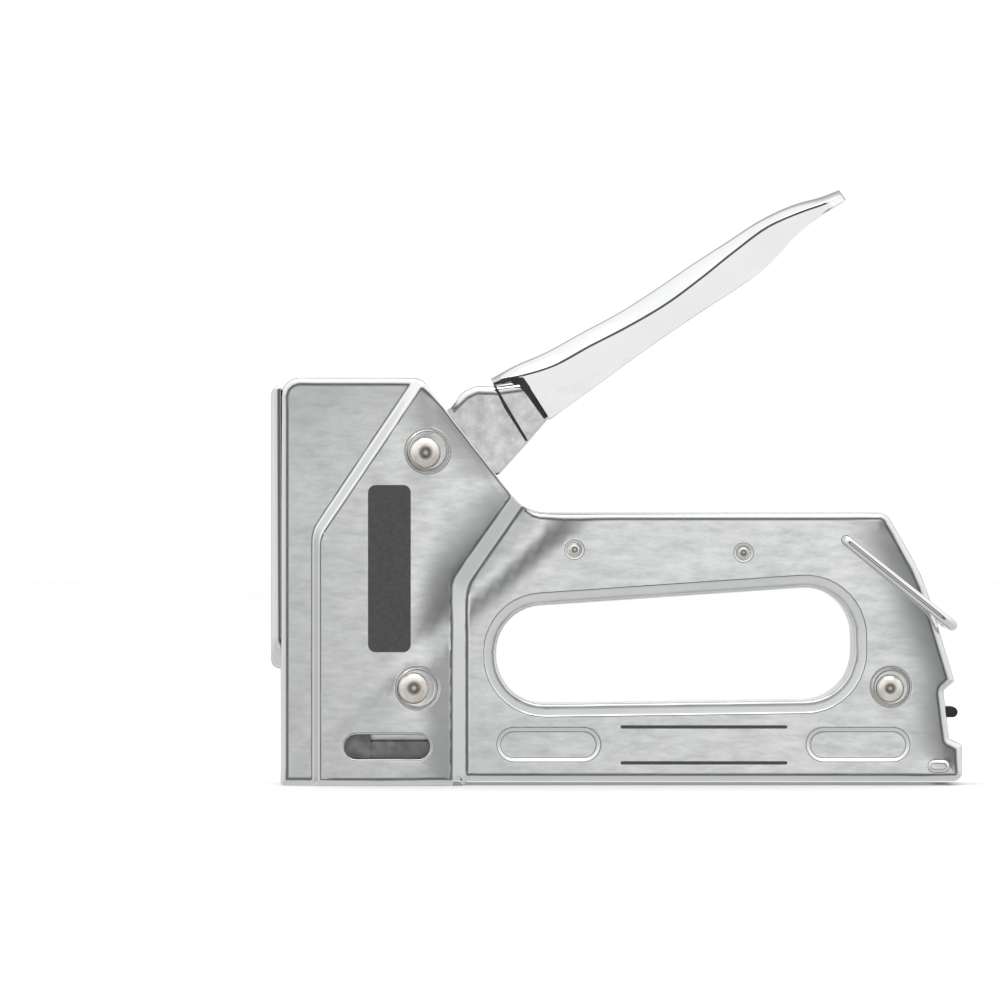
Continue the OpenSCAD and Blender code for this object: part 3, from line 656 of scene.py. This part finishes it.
def shell_height(points):
    """How far the outside of a shell stands from the gun's middle."""
    out = panel_height(points) - side_sinks(points)
    out -= round_drop(distance_to(points, wall_path, closed=False), BEND)
    out -= round_drop(distance_to(points, body_outline), 0.4)
    out -= hole_drop(np.maximum(-depth_in(points, hole_outline), 0))
    out -= round_drop(np.maximum(-depth_in(points, window_outline), 0), 0.5)
    for oval in rail_ovals:
        out -= 0.7 * s_bend(depth_in(points, stadium(*oval)) / 1.3, 0.4)
    out += 0.45 * s_bend(depth_in(points, stadium(*rear_boss)) / 0.9)
    for centre, radius in dishes:
        out -= 0.55 * s_bend((radius - np.linalg.norm(points - centre, axis=1)) / 1.1)
    for pin in PINS:
        out -= 0.3 * s_bend((DIMPLE_RADIUS - np.linalg.norm(points - pin, axis=1)) / 0.8)
    return out


def shell_turned_in(points):
    """How far from the gun's middle the shell's edge walls end."""
    reach = np.full(len(points), np.nan)
    walled = distance_to(points, wall_path, closed=False) < 0.08
    reach[walled] = SEAM
    reach[walled & (points[:, 1] < FOOT_STEP + 0.6) & (points[:, 0] > 1.0)] = FOOT_OPEN
    beside_notch = (points[:, 1] > FOOT_STEP + 0.6) & (points[:, 1] < NOTCH_HIGH - 0.6)
    rear = (points[:, 0] > NOTCH_X - 1) & beside_notch
    reach[walled & rear] = REAR_OPEN
    reach[distance_to(points, hole_outline) < 0.08] = SEAM
    return reach


def shell_kept(points):
    kept = is_inside(points, body_outline)
    for opening in (hole_outline, window_outline, arch_outline):
        kept &= ~is_inside(points, opening)
    return kept


def shell_loops():
    """The outlines that the shell's mesh follows: every bend gets several."""
    loops = [rounded(inset(body_corners, BEND * k)) for k in edge_steps]
    loops.append(rounded(inset(body_corners, BEND + 0.5)))
    loops += [rounded(between(panel_foot, panel_top, t)) for t in panel_steps]
    loops += [rounded(inset(panel_foot, -0.4)), rounded(inset(panel_top, 0.4))]
    loops += [rounded(inset(hole_corners, -k)) for k in rim_steps]
    loops += [stadium(*window, grow=k) for k in window_steps]
    for oval in rail_ovals:
        loops += [stadium(*oval, grow=-k) for k in oval_steps]
    loops += [stadium(*rear_boss, grow=-k) for k in boss_steps]
    for centre, radius in dishes:
        loops += [circle(centre, radius - k) for k in dish_steps]
    for pin in PINS:
        loops += [circle(pin, DIMPLE_RADIUS - k, 28) for k in dimple_steps]
    loops.append(arch_outline)
    return [divided(loop) for loop in loops]


def fill_points(spacing=2.6):
    """A loose grid over the sheet, so that it curves smoothly."""
    across = np.arange(spacing, BODY_LEN, spacing)
    up = np.arange(spacing, HEAD_TOP, spacing)
    grid = np.array([(x + spacing / 2 * (i % 2), z) for i, z in enumerate(up) for x in across])
    clear = depth_in(grid, body_outline) > BEND + 0.9
    clear &= depth_in(grid, hole_outline) < -4.2
    return grid[clear]


def shells():
    verts, faces = pressed_sheet(shell_loops(), fill_points(), shell_kept, shell_height, shell_turned_in)
    for name, side in (("left", -1), ("right", 1)):
        half = sided(verts, faces, side)
        shell = new_piece(f"{name}_casing_half", *half, PLATED, "casing", "shell_plate", [f"{name}_shell"])
        finish_edges(shell, thickness=SHEET)


# Front cover


def front_cover():
    """The bright channel over the front of the nose, round at its lower end."""
    low, high = box_mm("front_cover")
    half, proud, bend = high[1], -low[0], 2.2
    corners = [(half, low[2], half), (half, high[2], 1.2), (-half, high[2], 1.2), (-half, low[2], half)]
    outline = rounded(corners)

    def height(points):
        inward = depth_in(points, outline)
        crown = 0.35 * (1 - (points[:, 0] / half) ** 2)
        return proud - 0.35 + crown - round_drop(np.maximum(inward, 0), bend)

    def kept(points):
        return is_inside(points, outline)

    def turned_in(points):
        return np.zeros(len(points))

    loops = [rounded(inset(corners, bend * k)) for k in [*edge_steps, 1.4]]
    rows = np.linspace(low[2] + 6, high[2] - 4, 24)
    fill = np.array([(y, z) for y in np.linspace(-half + 3.4, half - 3.4, 7) for z in rows])
    verts, faces = pressed_sheet(loops, fill, kept, height, turned_in)
    points = np.stack([-verts[:, 1], -verts[:, 0], verts[:, 2]], 1)
    cover = new_piece("nose_cover", points, faces, CHROME, "casing", "handle_chrome", ["front_cover"])
    finish_edges(cover, thickness=1.0)


# Rivets and pins


def both_ends(crown):
    """The profile of a pin from the (radius, y) points of its end on the right, from its axis out."""
    return [(r, -y) for r, y in crown] + list(reversed(crown))


def rivet(name, node, centre, half, head_radius, shank_radius):
    """A rivet with a low crown on each side, seated in the shell's dishes."""
    proud = box_mm(node)[1][1] - half
    seat = half - 0.6
    rim = seat + 0.45
    angles = np.radians(np.arange(0, 90, 9))
    dome = [(head_radius * math.cos(a), rim + (proud + 0.15) * math.sin(a)) for a in angles]
    crown = [(0, half + proud), *reversed(dome), (head_radius, rim), (head_radius - 0.15, seat + 0.1)]
    crown.append((shank_radius, seat))
    points, faces = turned(both_ends(crown), centre)
    piece = new_piece(name, points, faces, RIVET, "casing", "rivet_steel", [node])
    finish_edges(piece, angle=50)


def rivets():
    rivet("lever_pivot_rivet", "lever_pivot_pin", PIVOT, HEAD_HALF, 4.2, 3.2)
    rivet("lower_head_rivet", "head_rivet", HEAD_RIVET, HEAD_HALF, 4.2, 2.4)
    rivet("rear_grip_rivet", "rear_rivet", REAR_RIVET, GRIP_HALF, 3.8, 2.4)


def grip_pins():
    """Pins whose rounded ends sit in small dimples."""
    end = box_mm("grip_pins")[1][1]
    falls = [(0, 0), (0.5, 0.02), (0.9, 0.09), (1.25, 0.24), (1.45, 0.45), (1.5, 0.8)]
    crown = [(radius, end - fall) for radius, fall in falls]
    points, faces = joined([turned(both_ends(crown), pin, 32) for pin in PINS])
    piece = new_piece("grip_cross_pins", points, faces, RIVET, "casing", "rivet_steel", ["grip_pins"])
    finish_edges(piece, angle=50)


# Lever


def hermite(at, xs, ys):
    """A smooth curve through stations."""
    xs, ys = np.array(xs, float), np.array(ys, float)
    slope = np.gradient(ys, xs)
    i = np.clip(np.searchsorted(xs, at) - 1, 0, len(xs) - 2)
    width = xs[i + 1] - xs[i]
    t = (at - xs[i]) / width
    return (
        ys[i] * (1 + 2 * t) * (1 - t) ** 2
        + slope[i] * width * t * (1 - t) ** 2
        + ys[i + 1] * t * t * (3 - 2 * t)
        - slope[i + 1] * width * t * t * (1 - t)
    )


# The cover at shares of the way from its front to its tip: the side edge of its top, the crown over that
# edge, and the lower edge of its flanges.
cover_share = [-0.076, 0, 0.08, 0.2, 0.31, 0.44, 0.55, 0.67, 0.78, 0.88, 0.95, 1]
cover_edge = [6.6, 3.6, 1.4, 0.5, -0.5, -0.9, -0.1, 1.2, 1.9, 0.4, -1.2, -1.6]
cover_crown = [0.9, 3.4, 4.3, 4.4, 4.6, 5, 4.6, 3.4, 2.8, 2.9, 2.4, 1.8]
flange_share = [0, 0.14, 0.345, 0.555, 0.64, 0.73, 0.825, 0.92, 1]
flange_low = [-10.2, -9.4, -8.1, -7.5, -7.4, -6.7, -4.2, -3, -3]
# Up a flange's bulge: the share of its height, and the share of its lean.
flange_bulge = [(0, 0), (0.1, 0.1), (0.25, 0.25), (0.45, 0.445), (0.65, 0.64), (0.85, 0.84), (1, 1)]
tongue_side = [0, 0.1, 0.2, 0.35, 0.5, 0.65, 0.8, 0.9, 1]
across_crown = np.linspace(-1, 1, 21)[1:-1]
TIP_ROUND = 7.0
TONGUE_ROUND = 3.0
BULGE = 0.4                   # how much the flanges lean in towards the crown
TONGUE_INSET = 3.0            # how far the tongue's sides stand in from the grip's
STEP_HIGH = 0.42              # the crisp step along each side of the crown


def cover_row(along, sides):
    """One cross section of the handle cover, from its left lower edge over the crown to its right one.

    Below the crown a crisp step runs along each side. With sides, a flange leans out below it, down to a
    straight lower part, and otherwise this is the narrow tongue.
    """
    share = (along - COVER_FRONT) / (LEVER_LEN - COVER_FRONT)
    edge = hermite(share, cover_share, cover_edge)
    crown = hermite(share, cover_share, cover_crown)
    low = min(hermite(share, flange_share, flange_low), edge - 1.5) if sides else edge - 1.2
    half = GRIP_HALF
    half -= float(round_drop(np.array(max(LEVER_LEN - along, 0.02)), TIP_ROUND))
    half -= float(round_drop(np.array(max(along - TONGUE, 0.02)), TONGUE_ROUND))
    root = edge - 0.3
    if sides:
        bulge = (root - low) * (0.5 + 0.38 * float(smooth(share / 0.35)))
        crown_half = half - BULGE * bulge
        left = [(-half, low), (-half, (low + root - bulge) / 2)]
        left += [(-half + (half - crown_half) * inward, root + (t - 1) * bulge) for t, inward in flange_bulge]
    else:
        crown_half = half - TONGUE_INSET
        left = [(-crown_half - 0.05, low + (root - low) * t) for t in tongue_side]
    left += [(-crown_half + 0.02, edge - 0.25), (-crown_half + 0.1, edge + 0.32)]
    top_half, top = crown_half - 0.2, edge + STEP_HIGH
    left.append((-top_half, top))
    over = [(y, top + (crown - STEP_HIGH) * (1 - (y / top_half) ** 2)) for y in top_half * across_crown]
    right = [(-y, v) for y, v in reversed(left)]
    return [(along, y, v) for y, v in left + over + right]


def handle_cover():
    """The crowned cover, from its tongue to its tip, with rows closer together where its ends are rounded."""
    tongue = [*(np.array([0, 0.08, 0.3, 0.7, 1.3, 2.1, 3, 4.5, 6]) + TONGUE), COVER_FRONT - 0.02]
    tip = LEVER_LEN - np.array([7, 5.2, 3.7, 2.5, 1.5, 0.8, 0.3, 0.08, 0])
    rows = [cover_row(u, False) for u in tongue]
    rows += [cover_row(u, True) for u in [*np.arange(COVER_FRONT, LEVER_LEN - 8, 2.2), *tip]]
    points, faces = lofted(rows)
    skin = (on_lever(points), reversed_faces(faces))
    cover = new_piece("handle_shell", *skin, CHROME, "lever", "handle_chrome", ["handle_cover"])
    finish_edges(cover, thickness=1.0, angle=15)


# The arm's corners above its fork, from the rear, and below it, back to the rear
arm_top = [
    (75.4, -3.4, 0), (52.7, -1.8, 0), (40.9, -0.6, 0), (COVER_FRONT, 1.4, 4), (TONGUE - 0.1, 4.9, 6),
    (21.1, 7.9, 4), (17, 8.5, 6), (10.8, 6.3, 6), (4, 7.6, 4),
]
arm_foot = [(-2.4, -8, 4), (13.6, -15.4, 2), (23, -12.8, 0), (COVER_FRONT, -9.8, 0), (75.4, -7, 1)]
FORK_LEN = 28.4               # from the pivot to the fork's tips
FORK_HALF = 3.0


def arm_corners():
    """The arm's corners, with its fork laid through the lifting tips of the CAD node."""
    tip_angle = math.radians(180 + 15) - LEVER_ANGLE
    along = np.array([math.cos(tip_angle), math.sin(tip_angle)])
    low_side = np.array([-along[1], along[0]])
    top_root, top_end = 14.5 * along - FORK_HALF * low_side, FORK_LEN * along - FORK_HALF * low_side
    low_end, low_root = FORK_LEN * along + FORK_HALF * low_side, 13 * along + 3.6 * low_side
    fork = [(*top_root, 6), (*top_end, 2.7), (*low_end, 2.7), (*low_root, 4)]
    return arm_top + fork + arm_foot


def lever_arm():
    """Two cheeks joined by a web over the top."""
    corners = arm_corners()
    outline = rounded(corners)
    bore = circle((0, 0), 3.25)
    top_edge = outline[(outline[:, 1] > -3.6) & (outline[:, 0] > 13)]
    top_edge = top_edge[np.argsort(-top_edge[:, 0])]

    def height(points):
        out = ARM_HALF - round_drop(distance_to(points, top_edge, closed=False), 2.2)
        return out - 0.3 * smooth(1 - distance_to(points, outline) / 0.35)

    def turned_in(points):
        reach = np.full(len(points), np.nan)
        reach[distance_to(points, top_edge, closed=False) < 0.06] = 0
        return reach

    def kept(points):
        return is_inside(points, outline) & ~is_inside(points, bore)

    loops = [rounded(inset(corners, k)) for k in (0.11, 0.23, 0.35, 0.42, 0.9, 1.5, 2.2, 2.6)]
    verts, faces = pressed_sheet([outline, *loops, bore], NO_POINTS, kept, height, turned_in)
    points, faces = joined([sided(verts, faces, side) for side in (-1, 1)])
    arm = new_piece("lever_cheeks", on_lever(points), faces, LEVER, "lever", "shell_plate", ["lever_arm"])
    finish_edges(arm, thickness=1.9)


def inlay(outline, half, proud, sunk):
    """A flat strip on both sides, standing proud of a surface half across the gun, and sunk into it."""

    def kept(points):
        return is_inside(points, outline)

    def height(points):
        return np.full(len(points), half + proud)

    def turned_in(points):
        return np.full(len(points), half - sunk)

    verts, faces = pressed_sheet([outline], NO_POINTS, kept, height, turned_in)
    return [sided(verts, faces, side) for side in (-1, 1)]


def handle_gap_shade():
    """Painted shade: black strips for the shadow in the gap between the cover and the cheeks, and in the
    crease ahead of it.
    """
    # Painted shade: this black strip stands where the gap between the cover's flanges and the cheeks lies in
    # shadow.
    gap_shade_strip = [
        (25.2, 6.1, 0.1), (25.6, 5.3, 0.1), (29.5, 3.9, 0.8), (31, 2, 1.4),
        (31.7, -9.4, 0.3), (33.5, -9.3, 0.3), (33, 3, 1), (29.5, 5.3, 0.5),
    ]
    # Painted shade: a thin dark line for the shade in the lap crease ahead of the cover.
    lap_crease_shade = [(25.1, 5.4, 0), (24.3, -1, 6), (24.3, -11.7, 0.1), (25, -12, 0.1), (25.3, -1, 6), (25.6, 5.2, 0)]
    parts = inlay(rounded(gap_shade_strip), ARM_HALF, 0.4, 0.1) + inlay(rounded(lap_crease_shade), ARM_HALF, 0.03, 0.4)
    points, faces = joined(parts)
    # Painted shade: the strips take the black rubber finish only so that they look dark like shadow.
    gap_shade_piece = new_piece("handle_gap_shade", on_lever(points), faces, RUBBER, "lever", "bumper_rubber")
    finish_edges(gap_shade_piece)


# Bail


def wire_bail():
    """The bent wire that holds the handle shut, with its ends turned in through the grip."""
    leg = box_mm("wire_bail")[1][1] - BAIL_WIRE
    inner = GRIP_HALF - 3.2
    corners = [
        (0, -inner, 0), (0, -leg, 1.5), (BAIL_LEN, -leg, 4), (BAIL_LEN, leg, 4), (0, leg, 1.5), (0, inner, 0),
    ]
    plan = rounded(corners, closed=False)
    path = []
    for start, end in zip(plan[:-1], plan[1:]):
        steps = max(1, int(np.linalg.norm(end - start) / 3))
        path += [start + (end - start) * k / steps for k in range(steps)]
    path = np.array([*path, plan[-1]])
    c, s = math.cos(BAIL_ANGLE), math.sin(BAIL_ANGLE)
    line = np.stack([BAIL_AT[0] + path[:, 0] * c, path[:, 1], BAIL_AT[1] - path[:, 0] * s], 1)
    points, faces = swept(line, BAIL_WIRE, 20)
    bail = new_piece("bail_wire", points, faces, CHROME, "bail", "wire_chrome", ["wire_bail"])
    finish_edges(bail, angle=60)


# Springs


def metres(x, y, z):
    """A point in millimetres from the nose as a place in the shared frame."""
    return tuple(placed([(x, y, z)])[0])


def power_spring():
    """The heavy spring over the plunger."""
    low, high = box_mm("power_spring")
    wire = 1.2
    axis = (low + high) / 2
    path = coil((high[0] - low[0]) / 2 - wire, high[2] - low[2] - 2 * wire, 12.5)
    points, faces = swept(path + (axis[0], 0, low[2] + wire), wire, 10)
    spring = new_piece("power_spring_coil", points, faces, SPRING, "casing", "spring_steel", ["power_spring"])
    metres(axis[0], 0, high[2])
    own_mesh(spring)


def lever_return_spring():
    """A torsion spring round the lever pivot, with a leg down into the casing."""
    low, high = box_mm("lever_return_spring")
    wire, turns = 0.65, 6.5
    half = high[1] - wire
    at = np.linspace(0, turns, int(turns * 20) + 1)
    angle = 2 * math.pi * at + math.pi
    y = -half + 2 * half * at / turns
    radius = (high[0] - low[0]) / 2 - wire
    turns_path = np.stack([PIVOT[0] + radius * np.cos(angle), y, PIVOT[1] + radius * np.sin(angle)], 1)
    turns_path = turns_path[: np.argmax(at > turns - 0.5) + 1]
    leg = [(PIVOT[0] - radius, y[-1], z) for z in np.linspace(PIVOT[1] - 1.5, low[2] + wire, 12)]
    points, faces = swept([*turns_path, *leg], wire, 8)
    new_piece("return_spring_coil", points, faces, SPRING, "casing", "spring_steel", ["lever_return_spring"])


def follower_spring():
    """The long thin spring on the rod, which pushes the follower."""
    low, high = box_mm("follower_spring")
    wire = 0.35
    path = coil((high[1] - low[1]) / 2 - wire, high[0] - low[0] - 2 * wire, 80, closed_turns=3, step=12)
    line = np.stack([low[0] + wire + path[:, 2], path[:, 0], (low[2] + high[2]) / 2 + path[:, 1]], 1)
    skin = swept(line, wire, 6)
    spring = new_piece("staple_spring_coil", *skin, SPRING, "feeder", "spring_steel", ["follower_spring"])
    anchor = metres(high[0], 0, (low[2] + high[2]) / 2)
    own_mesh(spring)


def latch_spring():
    """The short spring under the rear tab."""
    low, high = box_mm("latch_spring")
    wire = 0.35
    axis = (low + high) / 2
    path = coil((high[0] - low[0]) / 2 - wire, high[2] - low[2] - 2 * wire, 4, closed_turns=0.7)
    points, faces = swept(path + (axis[0], 0, low[2] + wire), wire, 8)
    spring = new_piece("latch_spring_coil", points, faces, SPRING, "feeder", "spring_steel", ["latch_spring"])
    metres(axis[0], 0, low[2])
    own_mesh(spring)


# Printed bars on the rail


def rail_bars():
    """Two plain printed lines on each side of the rail."""
    parts = []
    for z in (5.6, 15.2):
        parts += inlay(stadium(90.9, z, 44.6, 0.9), GRIP_HALF, 0.04, 0.1)
    points, faces = joined(parts)
    bars = new_piece("rail_bars", points, faces, INK, "casing", "label_ink")
    finish_edges(bars)


# The CAD nodes that show as they are, with their finishes. All but the thin labels get softened edges.
carried = {
    "nose_guide": INNER, "spring_cap": INNER, "plunger_stop": INNER, "pivot_washers": INNER,
    "head_spacer": INNER, "rear_spacer": INNER, "plunger": INNER, "driver_blade": INNER,
    "blade_rivets": RIVET, "feeder_rod": INNER, "follower": INNER, "magazine_channel": PLATED,
    "staple_rail": INNER, "feeder_cap": DARK, "magazine_latch": DARK, "bumper": RUBBER, "head_labels": INK,
}


def dress_cad_nodes():
    for name, material in carried.items():
        node = frame["nodes"][name]
        node.data.materials.clear()
        node.data.materials.append(material)
        if name == "head_labels":
            continue
        edges = node.modifiers.new("edges", "BEVEL")
        edges.width = 0.16 * MM
        edges.segments = 2
        edges.limit_method = "ANGLE"
        edges.angle_limit = math.radians(50)


# Stage, light and camera

# Where the bright cards stand, seen from the gun, and the studio's brightness by degrees from their middles
CARD_SIDE = math.radians(3)
CARD_UP = math.radians(0.8)
card_levels = [
    (0, 0.92), (3, 0.88), (4.5, 0.76), (6, 0.58), (8, 0.4),
    (11, 0.22), (15, 0.1), (24, 0.08), (33, 0.35), (42, 0.85),
]


def stage():
    """A pale floor, which reflections don't show."""
    build = bmesh.new()
    bmesh.ops.create_circle(build, cap_ends=True, radius=4, segments=96)
    mesh = bpy.data.meshes.new("floor")
    build.to_mesh(mesh)
    build.free()
    floor = bpy.data.objects.new("floor", mesh)
    bpy.context.scene.collection.objects.link(floor)
    finish = Finish("floor", (0.9, 0.9, 0.9), 0.0, 0.8)
    finish.colour_from(finish.noise(2, 2), [(0.3, (0.95, 0.95, 0.95)), (0.7, (0.97, 0.97, 0.97))])
    mesh.materials.append(finish.material)
    floor.visible_glossy = False


def studio_node(tree, kind, inputs, **settings):
    """A shader node whose inputs each take a value or a link from another node's output."""
    node = tree.nodes.new(kind)
    for name, value in settings.items():
        setattr(node, name, value)
    for name, value in inputs.items():
        if isinstance(value, bpy.types.NodeSocket):
            tree.links.new(value, node.inputs[name])
        else:
            node.inputs[name].default_value = value
    return node


def mixed(tree, factor, a, b):
    return studio_node(tree, "ShaderNodeMix", {"Factor": factor, "A": a, "B": b}).outputs["Result"]


def angle_from_card(tree, split):
    """The angle from the middle of the nearer card, as a share of a right angle."""
    either_side = studio_node(tree, "ShaderNodeMath", {0: split.outputs["Y"]}, operation="ABSOLUTE")
    parts = {"X": split.outputs["X"], "Y": either_side.outputs[0], "Z": split.outputs["Z"]}
    merge = studio_node(tree, "ShaderNodeCombineXYZ", parts)
    card = Vector((math.sin(CARD_SIDE), 1, math.sin(CARD_UP))).normalized()
    dot = studio_node(tree, "ShaderNodeVectorMath", {0: merge.outputs[0], 1: card}, operation="DOT_PRODUCT")
    angle = studio_node(tree, "ShaderNodeMath", {0: dot.outputs["Value"]}, operation="ARCCOSINE")
    share = studio_node(tree, "ShaderNodeMath", {0: angle.outputs[0], 1: math.pi / 2}, operation="DIVIDE")
    return share.outputs[0]


def card_and_surround(tree, share):
    """How bright a card and the dark ring round it are."""
    ramp = studio_node(tree, "ShaderNodeFloatCurve", {"Value": share})
    curve = ramp.mapping.curves[0]
    curve.points[1].location = (1, 1)
    curve.points[0].location = (0, card_levels[0][1])
    for degrees, level in card_levels[1:]:
        curve.points.new(degrees / 90, level)
    for point in curve.points:
        point.handle_type = "VECTOR"
    ramp.mapping.update()
    return ramp.outputs["Value"]


def world():
    """A white studio with a bright card and a dark surround on either side of the gun, as round a camera.

    The surround is a little lighter on the right side. Away from the cards the studio is greyer lower down.
    Only reflections show this, and everything else gets plain white light.
    """
    studio = bpy.data.worlds.new("studio")
    bpy.context.scene.world = studio
    studio.use_nodes = True
    tree = studio.node_tree
    coordinates = tree.nodes.new("ShaderNodeTexCoord")
    split = studio_node(tree, "ShaderNodeSeparateXYZ", {"Vector": coordinates.outputs["Generated"]})
    share = angle_from_card(tree, split)
    right = {"Value": split.outputs["Y"], "From Max": 0.5, "To Max": 0.3}
    lift = studio_node(tree, "ShaderNodeMapRange", right).outputs["Result"]
    lifted = mixed(tree, lift, card_and_surround(tree, share), 1)
    low = {"Value": split.outputs["Z"], "From Min": -0.5, "From Max": 0.7, "To Min": 0.6}
    rise = studio_node(tree, "ShaderNodeMapRange", low, interpolation_type="SMOOTHSTEP").outputs["Result"]
    away = {"Value": share, "From Min": 0.3, "From Max": 0.6}
    beyond = studio_node(tree, "ShaderNodeMapRange", away).outputs["Result"]
    fade = mixed(tree, beyond, 1, rise)
    shaded = studio_node(tree, "ShaderNodeMath", {0: lifted, 1: fade}, operation="MULTIPLY").outputs[0]
    seen = tree.nodes.new("ShaderNodeLightPath")
    colour = mixed(tree, seen.outputs["Is Glossy Ray"], 0.83, shaded)
    background = tree.nodes["Background"]
    tree.links.new(colour, background.inputs["Color"])
    background.inputs["Strength"].default_value = 1.25


def area_light(name, at, towards, size, power):
    light = bpy.data.lights.new(name, "AREA")
    light.shape = "RECTANGLE"
    light.size, light.size_y = size
    light.energy = power
    lamp = bpy.data.objects.new(name, light)
    lamp.location = at
    lamp.rotation_euler = (Vector(towards) - Vector(at)).to_track_quat("-Z", "Y").to_euler()
    bpy.context.scene.collection.objects.link(lamp)


def lights():
    area_light("top_light", (0, 0, 1.1), (0, 0, 0), (0.9, 0.9), 4)


def camera():
    """Square to the gun's left side, level, and centred a little ahead of its middle."""
    distance, width_seen = 1.5, 0.2667
    data = bpy.data.cameras.new("camera")
    data.sensor_width = 36
    data.lens = data.sensor_width * distance / width_seen
    view = bpy.data.objects.new("camera", data)
    view.location = (-31.1 * MM, -HEAD_HALF * MM - distance, 76.3 * MM)
    view.rotation_euler = (math.pi / 2, 0, 0)
    bpy.context.scene.collection.objects.link(view)
    bpy.context.scene.camera = view


camera()
stage()
world()
lights()
shells()
front_cover()
rivets()
grip_pins()
lever_arm()
handle_cover()
handle_gap_shade()
wire_bail()
power_spring()
lever_return_spring()
follower_spring()
latch_spring()
rail_bars()
dress_cad_nodes()
bpy.context.scene.view_settings.view_transform = "Standard"
